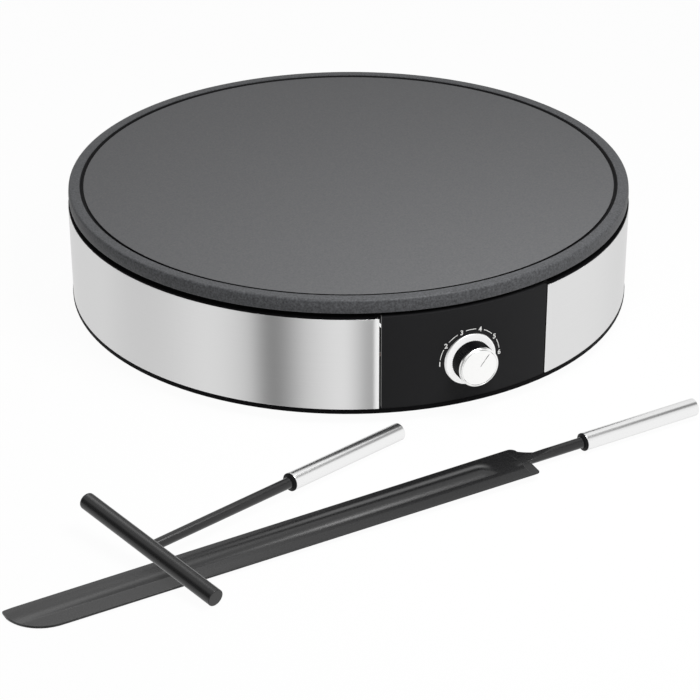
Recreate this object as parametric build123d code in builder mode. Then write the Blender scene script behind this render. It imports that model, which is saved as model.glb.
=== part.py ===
from build123d import *
import math
import os

# Electric crepe maker with its batter spreader and its long turner.
# Millimetres, +Z up. The origin is on the axis of the round body, on the table.
# The knob faces -Y, the lead leaves at +Y.

os.makedirs("parts", exist_ok=True)

# ---------------------------------------------------------------- driving dimensions

# Heights of the body, from the table up
foot_height = 6.0
base_rim_height = 3.3
band_height = 58.0
lip_thickness = 0.9
shadow_gap = 2.6
plate_wall_height = 8.5

# Radii of the body
plate_radius = 175.0
band_proud = 0.5
base_rim_proud = 0.3
base_rim_fillet = 1.2
panel_recess = 0.1

# Baking plate
plate_wall_width = 6.0
rim_width = 9.4
disc_recess = 0.7
disc_thickness = 4.6
groove_depth = 1.2
groove_floor_width = 1.0
groove_slope_width = 1.6
rim_top_fillet = 1.6
rim_bottom_fillet = 0.6
rim_inner_fillet = 0.9
plate_boss_inset = 47.0
plate_boss_radius = 8.0
plate_boss_length = 12.0
plate_boss_count = 4
plate_boss_start = 45.0

# Tubular heating element, half sunk in the underside of the plate
element_inset = 80.0
element_tube_radius = 3.25
element_bend_radius = 12.0
element_leg_offset = 14.0
element_leg_end = 55.0
element_pad_width = 15.0
element_drop = 3.2
element_groove_clearance = 0.05
element_tab_length = 12.0
tab_width = 6.3
tab_thickness = 0.8

# Clamp strips and their short screws
strap_thickness = 1.2
strap_width = 12.0
strap_corner = 2.0
clamp_angles = (90.0, 210.0, 330.0)
clamp_screw_offset = 13.5
clamp_inner_offset = 6.0
strap_boss_radius = 4.6
strap_screw_radius = 2.0
strap_screw_length = 6.0
strap_head_radius = 3.8
strap_head_height = 2.4

# Thermostat bulb, thermal fuse and earth tag under the plate
bulb_radius = 2.5
bulb_front = -30.0
bulb_length = 75.0
bulb_end_fillet = 1.0
bulb_clip_y = 12.0
fuse_radius = 2.2
fuse_x = -24.0
fuse_front = -22.0
fuse_length = 14.0
fuse_chamfer = 0.6
clip_thickness = 0.8
clip_screw_offset = 12.0
clip_lip = 3.0
earth_tag_x = 24.0
earth_tag_y = 28.0
earth_tag_length = 12.0

# Heat shield
shield_clearance = 6.0
shield_thickness = 0.6
shield_rim_height = 6.5
shield_front_hole_radius = 18.0
shield_front_hole_y = -44.0
shield_lead_hole_radius = 6.0
shield_lead_hole_x = 24.0
shield_lead_hole_y = 48.0

# Plate screws and spacers
plate_screw_radius = 2.5
plate_head_radius = 4.6
plate_head_height = 3.6
plate_screw_grip = 10.5
spacer_radius = 5.5
plate_post_radius = 8.0
plate_post_top = 40.0
plate_post_seat = 30.0

# Case
floor_thickness = 2.5
base_wall_thickness = 2.2
base_wall_top = 22.0
band_thickness = 0.8
ring_deck_thickness = 2.4
ring_deck_width = 19.5
ring_skirt_depth = 9.0
ring_skirt_thickness = 1.4
ring_upstand_height = 1.6
ring_upstand_thickness = 1.5
fit_gap = 0.2
case_screw_inset = 12.5
case_screw_count = 6
case_boss_radius = 5.0
case_boss_bottom = 40.0
case_pillar_seat = 30.0
case_screw_radius = 1.75
case_screw_length = 20.0
case_head_radius = 3.6
case_head_height = 2.6
vent_count = 9
vent_length = 34.0
vent_width = 4.0
vent_pitch = 9.0
vent_distance = 70.0

# Feet
foot_inset = 25.5
foot_radius = 9.0
foot_count = 4
foot_start = 45.0
foot_stem_radius = 3.0
foot_barb_radius = 4.2
foot_barb_height = 1.6
foot_barb_taper = 20.0
foot_chamfer = 1.0

# Control panel, dial and knob
panel_half_angle = 17.4
panel_gap = 1.35
panel_thickness = 3.5
panel_lug_x = 38.0
panel_lug_radius = 4.5
panel_lug_top = 34.0
panel_lug_inset = 17.0
panel_pillar_top = 20.0
panel_pillar_seat = 10.0
knob_height = 34.5
shaft_hole_radius = 6.0
collar_radius = 16.0
collar_hole_radius = 6.5
collar_seat_depth = 1.6
collar_thickness = 2.2
collar_dish_depth = 1.1
collar_land_width = 0.8
collar_inner_land = 1.0
collar_fillet = 0.3
knob_radius = 12.25
knob_projection = 12.0
knob_back_gap = 0.3
knob_web = 1.0
knob_rib_count = 60
knob_rib_groove = 0.3
knob_ring_height = 1.8
knob_ring_width = 1.1
knob_ring_chamfer = 0.7
knob_cap_gap = 0.25
pointer_width = 0.7
pointer_inner = 0.8
pointer_outer = 9.6
pointer_depth = 0.3
pointer_angle = 38.0
dial_radius = 19.0
dial_start = -90.0
dial_step = 36.0
dial_numeral_count = 6
numeral_height = 3.1
numeral_stroke = 0.45
dial_arc_width = 0.3
dial_arc_margin = 7.5
marking_thickness = 0.08
marking_lift = 0.01

# Thermostat
bracket_setback = 13.4
bracket_thickness = 1.2
bracket_width = 52.0
bracket_height = 34.0
bracket_flange = 5.0
bracket_screw_x = 20.0
bracket_boss_radius = 4.0
bracket_screw_radius = 1.5
bracket_screw_length = 7.5
bracket_head_radius = 2.8
bracket_head_height = 2.0
bush_radius = 4.75
bush_front_length = 7.5
bush_nut_flats = 14.0
bush_nut_height = 3.0
shaft_radius = 3.0
shaft_flat_depth = 1.3
shaft_running_gap = 0.05
shaft_collar_radius = 4.2
shaft_collar_height = 1.2
shaft_end_play = 0.3
spindle_radius = 2.0
spindle_end_gap = 1.0
body_width = 34.0
body_depth = 20.0
body_wall = 2.8
body_corner = 3.0
cavity_height = 26.0
nut_width = 12.0
nut_height = 5.0
nut_nose_radius = 3.2
nut_button_gap = 0.6
nut_nose_wall = 1.4
nut_setback = 3.5
nut_slide_gap = 0.1
capsule_radius = 15.0
capsule_thickness = 3.0
capsule_button_radius = 3.0
capsule_button_height = 2.2
capillary_radius = 1.0
thermostat_tab_length = 8.0
thermostat_tab_depth = 10.8

# Wiring
lead_radius = 1.2
block_setback = 42.3
block_width = 34.0
block_depth = 20.0
block_height = 14.0
block_pole_pitch = 10.0
block_pole_count = 3
block_wire_height = 7.0
block_wire_gap = 0.1
block_screw_radius = 1.9
block_screw_inset = 5.0
block_screw_length = 4.2
block_screw_slot_width = 0.6
block_screw_slot_depth = 0.8
block_well_clearance = 0.05
block_well_depth = 5.0
lead_entry = 3.0
lead_end_gap = 0.1
lead_bend_share = 0.45
lead_straight = 12.0

# Inlet for the supply lead
gland_height = 25.0
gland_bore_radius = 3.7
gland_sleeve_radius = 6.8
gland_flange_radius = 9.5
gland_flange_thickness = 2.2
gland_flange_chamfer = 1.0
gland_tower_width = 28.0
gland_tower_depth = 12.0
gland_tower_height = 30.0
gland_inner_length = 1.5

# Clearances that several pieces share
screw_clearance = 0.05
screw_head_clearance = 0.2
blind_hole_spare = 0.5
cut_margin = 1.0

# Turner (its axis runs from the tip of the blade to the end of the handle)
turner_x = -306.0
turner_y = -278.2
turner_yaw = 6.05
turner_table_gap = 0.05
turner_neck_length = 34.5
turner_handle_length = 75.6
blade_length = 309.0
blade_tip_width = 25.7
blade_width = 28.9
blade_thickness = 1.4
blade_corner_x = 8.5
blade_corner_y = -8.0
blade_corner_run = 25.0
blade_rib_offset = 3.3
blade_rib_start = 18.0
blade_rib_start_width = 12.0
blade_rib_start_height = 0.5
blade_rib_rise = 172.0
blade_rib_margin = 26.0
blade_rib_width = 14.4
blade_rib_height = 1.8
blade_corner_fillet = 3.0
blade_neck_length = 5.5
blade_neck_fillet = 5.0
blade_neck_inset = 0.5
blade_root_length = 16.0
blade_root_shoulder = 10.0
blade_axis_height = 1.1
handle_radius = 5.15
handle_wall = 0.8
handle_end_wall = 1.2
handle_end_fillet = 0.7
rod_radius = 3.1
ferrule_length = 3.6
ferrule_land = 1.9
ferrule_radius = 5.3
ferrule_nose_radius = 3.7
ferrule_spigot_length = 6.0
push_fit_gap = 0.03

# Spreader (its axis runs from the middle of the bar to the end of the handle)
spreader_x = -224.1
spreader_y = -254.8
spreader_yaw = 20.9
spreader_neck_length = 102.8
spreader_handle_length = 82.7
spreader_bar_length = 104.7
spreader_bar_radius = 4.8
spreader_bar_fillet = 0.8
spreader_rod_radius = 2.95
spreader_blade_gap = 0.3

# ---------------------------------------------------------------- derived places

base_bottom = foot_height
band_bottom = base_bottom + base_rim_height
band_top = band_bottom + band_height
lip_top = band_top + lip_thickness
plate_bottom = lip_top + shadow_gap
plate_top = plate_bottom + plate_wall_height
floor_top = base_bottom + floor_thickness

band_radius = plate_radius + band_proud
base_rim_radius = band_radius + base_rim_proud
past_body_radius = base_rim_radius + cut_margin
band_inner_radius = band_radius - band_thickness
base_wall_outer = band_inner_radius - fit_gap
base_wall_inner = base_wall_outer - base_wall_thickness
panel_radius = band_radius - panel_recess
panel_inner_radius = panel_radius - panel_thickness
panel_gap_angle = math.degrees(panel_gap / band_radius)
band_flange_angle = math.degrees(band_thickness / band_radius)
band_end_angle = panel_half_angle + panel_gap_angle
panel_opening_angle = band_end_angle + band_flange_angle + panel_gap_angle
ring_inner_radius = band_radius - ring_deck_width
ring_skirt_outer = band_inner_radius - fit_gap
ring_skirt_inner = ring_skirt_outer - ring_skirt_thickness
ring_deck_bottom = lip_top - ring_deck_thickness
ring_cut_radius = panel_inner_radius - fit_gap
case_screw_circle = band_radius - case_screw_inset
foot_circle = band_radius - foot_inset
shield_radius = ring_inner_radius - shield_clearance

disc_top = plate_top - disc_recess
disc_bottom = disc_top - disc_thickness
groove_floor = disc_top - groove_depth
disc_edge_radius = plate_radius - rim_width
groove_floor_edge = disc_edge_radius + groove_floor_width
groove_outer_edge = groove_floor_edge + groove_slope_width
plate_wall_inner = plate_radius - plate_wall_width
plate_boss_bottom = disc_bottom - plate_boss_length
plate_boss_circle = plate_radius - plate_boss_inset

element_height = disc_bottom - element_drop
element_ring_radius = plate_radius - element_inset
clamp_screw_circle = element_ring_radius + clamp_screw_offset
clamp_inner_reach = element_ring_radius - clamp_inner_offset
element_bottom = element_height - element_tube_radius
clamp_top = element_bottom - element_groove_clearance
clamp_bottom = clamp_top - strap_thickness
bend_x = element_leg_offset + element_bend_radius
bend_y = math.sqrt((element_ring_radius - element_bend_radius) ** 2 - bend_x ** 2)
bend_seat_angle = math.degrees(math.atan2(bend_y, bend_x))
element_bend_angle = 180.0 - bend_seat_angle
element_ring_angle = 180.0 + 2.0 * bend_seat_angle

bulb_height = disc_bottom - bulb_radius - element_groove_clearance
clip_top = bulb_height - bulb_radius - element_groove_clearance
clip_bottom = clip_top - clip_thickness
fuse_height = clip_top + element_groove_clearance + fuse_radius
fuse_screw_x = fuse_x - clip_screw_offset
fuse_middle_y = fuse_front + fuse_length / 2.0
bulb_screw_x = clip_screw_offset

shield_top = plate_boss_bottom
shield_bottom = shield_top - shield_thickness
spacer_length = shield_bottom - plate_post_top

plate_screw_top = plate_boss_bottom + plate_screw_grip

panel_lug_y = -(panel_inner_radius - panel_lug_inset)
seat_y = -(panel_radius - collar_seat_depth)
collar_front_y = seat_y - collar_thickness
knob_front_y = -(panel_radius + knob_projection)
collar_dish_y = collar_front_y + collar_dish_depth
knob_back_y = collar_front_y - knob_back_gap
knob_ring_back_y = knob_front_y + knob_ring_height
bracket_front_y = seat_y + bracket_setback
bracket_back_y = bracket_front_y + bracket_thickness
body_front_y = bracket_back_y
body_back_y = body_front_y + body_depth
cavity_front_y = body_front_y + body_wall
cavity_width = nut_width + 2.0 * nut_slide_gap
bush_front_y = bracket_front_y - bush_front_length
shaft_collar_front_y = cavity_front_y + shaft_end_play
shaft_collar_back_y = shaft_collar_front_y + shaft_collar_height
nut_front_y = shaft_collar_back_y + nut_setback
nut_back_y = nut_front_y + nut_height
nut_nose_y = body_back_y - capsule_button_height - nut_button_gap
nut_bore_end_y = nut_nose_y - nut_nose_wall
spindle_end_y = nut_bore_end_y - spindle_end_gap
shaft_front_y = knob_ring_back_y + knob_web
shaft_bore_radius = shaft_radius + shaft_running_gap
shaft_flat_x = shaft_radius - shaft_flat_depth
capsule_back_y = body_back_y + capsule_thickness
dial_outer_radius = dial_radius + dial_arc_width / 2.0
dial_inner_radius = dial_radius - dial_arc_width / 2.0

gland_tower_back = base_wall_inner
gland_tower_front = gland_tower_back - gland_tower_depth
gland_inner_end = gland_tower_front - gland_inner_length
gland_face_radius = gland_flange_radius - gland_flange_chamfer

block_y = gland_tower_front - block_setback
block_top = floor_top + block_height
block_wire_z = floor_top + block_wire_height
block_front_y = block_y - block_depth / 2.0
block_lead_end_y = block_front_y + lead_entry
block_screw_y = block_depth / 2.0 - block_screw_inset

handle_bore_radius = handle_radius - handle_wall


# ---------------------------------------------------------------- helpers

def front_sector(inner_radius, outer_radius, half_angle):
    """Flat ring sector centred on the front, between two radii."""
    reach = 2.0 * outer_radius
    side = reach * math.sin(math.radians(half_angle))
    ahead = -reach * math.cos(math.radians(half_angle))
    with BuildSketch() as sector:
        with BuildLine():
            Polyline((0, 0), (-side, ahead), (side, ahead), close=True)
        make_face()
        Circle(outer_radius, mode=Mode.INTERSECT)
        Circle(inner_radius, mode=Mode.SUBTRACT)
    return sector.sketch


def bend_radii(points):
    """Radius for each corner of a lead: as large as its two runs allow."""
    radii = []
    for before, corner, after in zip(points, points[1:], points[2:]):
        run_in = Vector(*corner) - Vector(*before)
        run_out = Vector(*after) - Vector(*corner)
        half_turn = math.radians(run_in.get_angle(run_out)) / 2.0
        shorter = min(run_in.length, run_out.length)
        radii.append(lead_bend_share * shorter / math.tan(half_turn))
    return radii


def along_y(y, height=knob_height):
    """Plane whose normal points to the front, centred on the knob's axis."""
    return Plane(origin=(0, y, height), x_dir=(1, 0, 0), z_dir=(0, -1, 0))


def on_panel(dial_angle):
    """Plane on the face of the panel, at an angle of the dial clockwise from its top."""
    turn = math.radians(dial_angle)
    x = dial_radius * math.sin(turn)
    face_radius = panel_radius + marking_lift
    face_y = -math.sqrt(face_radius ** 2 - x ** 2)
    outwards = Vector(x, face_y, 0).normalized()
    return Plane(
        origin=(x, face_y, knob_height + dial_radius * math.cos(turn)),
        x_dir=Vector(-outwards.Y, outwards.X, 0),
        z_dir=outwards,
    )


def ferrule_profile(tube_start):
    """Half section of a ferrule: a nose, a collar and the spigot inside the tube."""
    spigot_end = tube_start + ferrule_spigot_length
    with BuildSketch() as profile:
        with BuildLine():
            Polyline(
                (tube_start - ferrule_length, rod_radius + push_fit_gap),
                (spigot_end, rod_radius + push_fit_gap),
                (spigot_end, handle_bore_radius - push_fit_gap),
                (tube_start, handle_bore_radius - push_fit_gap),
                (tube_start, ferrule_radius),
                (tube_start - ferrule_land, ferrule_radius),
                (tube_start - ferrule_length, ferrule_nose_radius),
                close=True,
            )
        make_face()
    return profile.sketch


def handle_profile(tube_start, tube_end):
    """Half section of a handle tube, closed at its far end."""
    with BuildSketch() as profile:
        with BuildLine():
            Polyline(
                (tube_start, handle_bore_radius),
                (tube_start, handle_radius),
                (tube_end, handle_radius),
                (tube_end, 0),
                (tube_end - handle_end_wall, 0),
                (tube_end - handle_end_wall, handle_bore_radius),
                close=True,
            )
        make_face()
        corners = profile.vertices()
        fillet(corners.sort_by_distance((tube_end, handle_radius))[0], handle_end_fillet)
    return profile.sketch


# Route of the heating element: a leg, a bend, the ring, a bend and a leg
with BuildLine(Plane.XY.offset(element_height)) as element_route:
    leg_in = Line((element_leg_offset, -element_leg_end), (element_leg_offset, -bend_y))
    bend_in = JernArc(leg_in @ 1, leg_in % 1, element_bend_radius, element_bend_angle)
    ring_turn = JernArc(bend_in @ 1, bend_in % 1, element_ring_radius, element_ring_angle)
    bend_out = JernArc(ring_turn @ 1, ring_turn % 1, element_bend_radius, element_bend_angle)
    leg_out = Line(bend_out @ 1, (-element_leg_offset, -element_leg_end))

element_start = Plane(origin=leg_in @ 0, z_dir=leg_in % 0)

# Strokes of the plain numerals 1 to 6, as shares of the numeral's height
numeral_lines = [
    [(-0.16, 0.28), (0.06, 0.5), (0.06, -0.5)],
    [(-0.27, 0.26), (-0.15, 0.46), (0.1, 0.5), (0.27, 0.28), (0.2, 0.05), (-0.28, -0.5), (0.28, -0.5)],
    [(-0.26, 0.42), (0.05, 0.5), (0.26, 0.27), (0.0, 0.03), (0.28, -0.22), (0.05, -0.5), (-0.28, -0.4)],
    [(0.13, -0.5), (0.13, 0.5), (-0.3, -0.2), (0.33, -0.2)],
    [(0.25, 0.5), (-0.2, 0.5), (-0.25, 0.05), (0.08, 0.1), (0.28, -0.18), (0.05, -0.5), (-0.27, -0.4)],
    [(0.2, 0.5), (-0.1, 0.34), (-0.26, -0.12), (-0.1, -0.47), (0.12, -0.48), (0.27, -0.2), (0.08, 0.04),
     (-0.25, -0.12)],
]

# Places of the short screws under the plate: x, y and the height of the clamped face
strap_screws = []
for angle in clamp_angles:
    clamp_x = clamp_screw_circle * math.cos(math.radians(angle))
    clamp_y = clamp_screw_circle * math.sin(math.radians(angle))
    strap_screws.append((clamp_x, clamp_y, clamp_top, strap_thickness))
strap_screws.append((bulb_screw_x, bulb_clip_y, clip_top, clip_thickness))
strap_screws.append((fuse_screw_x, fuse_middle_y, clip_top, clip_thickness))
strap_screws.append((earth_tag_x, earth_tag_y, clip_top, clip_thickness))

# ---------------------------------------------------------------- baking plate

with BuildPart() as baking_plate:
    with BuildSketch(Plane.XZ) as plate_profile:
        with BuildLine():
            Polyline(
                (0, disc_bottom),
                (plate_wall_inner, disc_bottom),
                (plate_wall_inner, plate_bottom),
                (plate_radius, plate_bottom),
                (plate_radius, plate_top),
                (groove_outer_edge, plate_top),
                (groove_floor_edge, groove_floor),
                (disc_edge_radius, groove_floor),
                (disc_edge_radius, disc_top),
                (0, disc_top),
                close=True,
            )
        make_face()
        corners = plate_profile.vertices()
        fillet(corners.sort_by_distance((plate_radius, plate_top))[0], rim_top_fillet)
        corners = plate_profile.vertices()
        fillet(corners.sort_by_distance((plate_radius, plate_bottom))[0], rim_bottom_fillet)
        corners = plate_profile.vertices()
        fillet(corners.sort_by_distance((groove_outer_edge, plate_top))[0], rim_inner_fillet)
    revolve(axis=Axis.Z)
    # Pad that holds the element, and the bosses that take the screws
    with BuildSketch(Plane.XY.offset(element_height)):
        Circle(element_ring_radius + element_pad_width / 2.0)
        Circle(element_ring_radius - element_pad_width / 2.0, mode=Mode.SUBTRACT)
    extrude(amount=disc_bottom - element_height)
    with BuildSketch(Plane.XY.offset(plate_boss_bottom)):
        with PolarLocations(plate_boss_circle, plate_boss_count, plate_boss_start):
            Circle(plate_boss_radius)
    extrude(amount=plate_boss_length)
    for screw_x, screw_y, face_z, sheet in strap_screws:
        with BuildSketch(Plane.XY.offset(face_z)):
            with Locations((screw_x, screw_y)):
                Circle(strap_boss_radius)
        extrude(amount=disc_bottom - face_z)
    # Groove of the element
    with BuildSketch(element_start):
        Circle(element_tube_radius + element_groove_clearance)
    sweep(path=element_route.line, mode=Mode.SUBTRACT)
    # Blind screw holes
    with BuildSketch(Plane.XY.offset(plate_boss_bottom)):
        with PolarLocations(plate_boss_circle, plate_boss_count, plate_boss_start):
            Circle(plate_screw_radius + screw_clearance)
    extrude(amount=plate_screw_grip + blind_hole_spare, mode=Mode.SUBTRACT)
    for screw_x, screw_y, face_z, sheet in strap_screws:
        with BuildSketch(Plane.XY.offset(face_z)):
            with Locations((screw_x, screw_y)):
                Circle(strap_screw_radius + screw_clearance)
        extrude(amount=strap_screw_length, mode=Mode.SUBTRACT)

baking_plate.part.label = "baking_plate"
export_step(baking_plate.part, "parts/baking_plate.step")

# ---------------------------------------------------------------- heating element

with BuildPart() as heating_element:
    with BuildSketch(element_start):
        Circle(element_tube_radius)
    sweep(path=element_route.line)

heating_element.part.label = "heating_element"
export_step(heating_element.part, "parts/heating_element.step")

with BuildPart() as element_tabs:
    with BuildSketch(Plane.XY.offset(element_height - tab_thickness / 2.0)):
        with Locations((element_leg_offset, element_tab_length / 2.0 - element_leg_end),
                       (-element_leg_offset, element_tab_length / 2.0 - element_leg_end)):
            Rectangle(tab_width, element_tab_length)
    extrude(amount=tab_thickness)

element_tabs.part.label = "element_tabs"
export_step(element_tabs.part, "parts/element_tabs.step")

clamp_reach = clamp_screw_circle + strap_width / 2.0 - clamp_inner_reach
clamp_middle = clamp_inner_reach + clamp_reach / 2.0
with BuildPart() as element_clamps:
    with BuildSketch(Plane.XY.offset(clamp_bottom)):
        for angle in clamp_angles:
            with PolarLocations(clamp_middle, 1, angle):
                RectangleRounded(clamp_reach, strap_width, strap_corner)
            with PolarLocations(clamp_screw_circle, 1, angle):
                Circle(strap_screw_radius + screw_clearance, mode=Mode.SUBTRACT)
    extrude(amount=strap_thickness)

element_clamps.part.label = "element_clamps"
export_step(element_clamps.part, "parts/element_clamps.step")

with BuildPart() as strap_screw_set:
    for screw_x, screw_y, face_z, sheet in strap_screws:
        seat_z = face_z - sheet
        with BuildSketch(Plane.XY.offset(seat_z - strap_head_height)):
            with Locations((screw_x, screw_y)):
                Circle(strap_head_radius)
        extrude(amount=strap_head_height)
        with BuildSketch(Plane.XY.offset(seat_z)):
            with Locations((screw_x, screw_y)):
                Circle(strap_screw_radius)
        extrude(amount=strap_screw_length)

strap_screw_set.part.label = "strap_screws"
export_step(strap_screw_set.part, "parts/strap_screws.step")

# ---------------------------------------------------------------- sensing and safety parts

with BuildPart() as sensing_bulb:
    with BuildSketch(Plane(origin=(0, bulb_front, bulb_height), z_dir=(0, 1, 0))):
        Circle(bulb_radius)
    extrude(amount=bulb_length)
    fillet(sensing_bulb.edges().filter_by(GeomType.CIRCLE), bulb_end_fillet)

sensing_bulb.part.label = "sensing_bulb"
export_step(sensing_bulb.part, "parts/sensing_bulb.step")

bulb_clip_left = -(bulb_radius + element_groove_clearance + clip_thickness)
bulb_clip_right = bulb_screw_x + strap_boss_radius
with BuildPart() as bulb_clip:
    with BuildSketch(Plane.XY.offset(clip_bottom)):
        with Locations(((bulb_clip_left + bulb_clip_right) / 2.0, bulb_clip_y)):
            Rectangle(bulb_clip_right - bulb_clip_left, strap_width)
        with Locations((bulb_screw_x, bulb_clip_y)):
            Circle(strap_screw_radius + screw_clearance, mode=Mode.SUBTRACT)
    extrude(amount=clip_thickness)
    with BuildSketch(Plane.XY.offset(clip_top)):
        with Locations((bulb_clip_left + clip_thickness / 2.0, bulb_clip_y)):
            Rectangle(clip_thickness, strap_width)
    extrude(amount=clip_lip)

bulb_clip.part.label = "bulb_clip"
export_step(bulb_clip.part, "parts/bulb_clip.step")

with BuildPart() as thermal_fuse:
    with BuildSketch(Plane(origin=(fuse_x, fuse_front, fuse_height), z_dir=(0, 1, 0))):
        Circle(fuse_radius)
    extrude(amount=fuse_length)
    chamfer(thermal_fuse.edges().filter_by(GeomType.CIRCLE), fuse_chamfer)

thermal_fuse.part.label = "thermal_fuse"
export_step(thermal_fuse.part, "parts/thermal_fuse.step")

fuse_clip_right = fuse_x + fuse_radius + element_groove_clearance + clip_thickness
fuse_clip_left = fuse_screw_x - strap_boss_radius
with BuildPart() as fuse_clip:
    with BuildSketch(Plane.XY.offset(clip_bottom)):
        with Locations(((fuse_clip_left + fuse_clip_right) / 2.0, fuse_middle_y)):
            Rectangle(fuse_clip_right - fuse_clip_left, strap_width)
        with Locations((fuse_screw_x, fuse_middle_y)):
            Circle(strap_screw_radius + screw_clearance, mode=Mode.SUBTRACT)
    extrude(amount=clip_thickness)
    with BuildSketch(Plane.XY.offset(clip_top)):
        with Locations((fuse_clip_right - clip_thickness / 2.0, fuse_middle_y)):
            Rectangle(clip_thickness, strap_width)
    extrude(amount=clip_lip)

fuse_clip.part.label = "fuse_clip"
export_step(fuse_clip.part, "parts/fuse_clip.step")

earth_tag_end = earth_tag_y + earth_tag_length
with BuildPart() as earth_tag:
    with BuildSketch(Plane.XY.offset(clip_bottom)):
        with Locations((earth_tag_x, earth_tag_y)):
            Circle(strap_boss_radius)
        with Locations((earth_tag_x, earth_tag_y + earth_tag_length / 2.0)):
            Rectangle(tab_width, earth_tag_length)
        with Locations((earth_tag_x, earth_tag_y)):
            Circle(strap_screw_radius + screw_clearance, mode=Mode.SUBTRACT)
    extrude(amount=clip_thickness)

earth_tag.part.label = "earth_tag"
export_step(earth_tag.part, "parts/earth_tag.step")

# ---------------------------------------------------------------- heat shield, spacers, plate screws

with BuildPart() as heat_shield:
    with BuildSketch(Plane.XZ):
        with BuildLine():
            Polyline(
                (0, shield_bottom),
                (shield_radius, shield_bottom),
                (shield_radius, shield_bottom + shield_rim_height),
                (shield_radius - shield_thickness, shield_bottom + shield_rim_height),
                (shield_radius - shield_thickness, shield_top),
                (0, shield_top),
                close=True,
            )
        make_face()
    revolve(axis=Axis.Z)
    with BuildSketch(Plane.XY.offset(shield_bottom)):
        with PolarLocations(plate_boss_circle, plate_boss_count, plate_boss_start):
            Circle(plate_screw_radius + screw_clearance)
        with Locations((0, shield_front_hole_y)):
            Circle(shield_front_hole_radius)
        with Locations((shield_lead_hole_x, shield_lead_hole_y),
                       (-shield_lead_hole_x, shield_lead_hole_y)):
            Circle(shield_lead_hole_radius)
    extrude(amount=shield_thickness, mode=Mode.SUBTRACT)

heat_shield.part.label = "heat_shield"
export_step(heat_shield.part, "parts/heat_shield.step")

with BuildPart() as plate_spacers:
    with BuildSketch(Plane.XY.offset(plate_post_top)):
        with PolarLocations(plate_boss_circle, plate_boss_count, plate_boss_start):
            Circle(spacer_radius)
            Circle(plate_screw_radius + screw_clearance, mode=Mode.SUBTRACT)
    extrude(amount=spacer_length)

plate_spacers.part.label = "plate_spacers"
export_step(plate_spacers.part, "parts/plate_spacers.step")

with BuildPart() as plate_screws:
    with BuildSketch(Plane.XY.offset(plate_post_seat - plate_head_height)):
        with PolarLocations(plate_boss_circle, plate_boss_count, plate_boss_start):
            Circle(plate_head_radius)
    extrude(amount=plate_head_height)
    with BuildSketch(Plane.XY.offset(plate_post_seat)):
        with PolarLocations(plate_boss_circle, plate_boss_count, plate_boss_start):
            Circle(plate_screw_radius)
    extrude(amount=plate_screw_top - plate_post_seat)

plate_screws.part.label = "plate_screws"
export_step(plate_screws.part, "parts/plate_screws.step")

# ---------------------------------------------------------------- base shell

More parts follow.
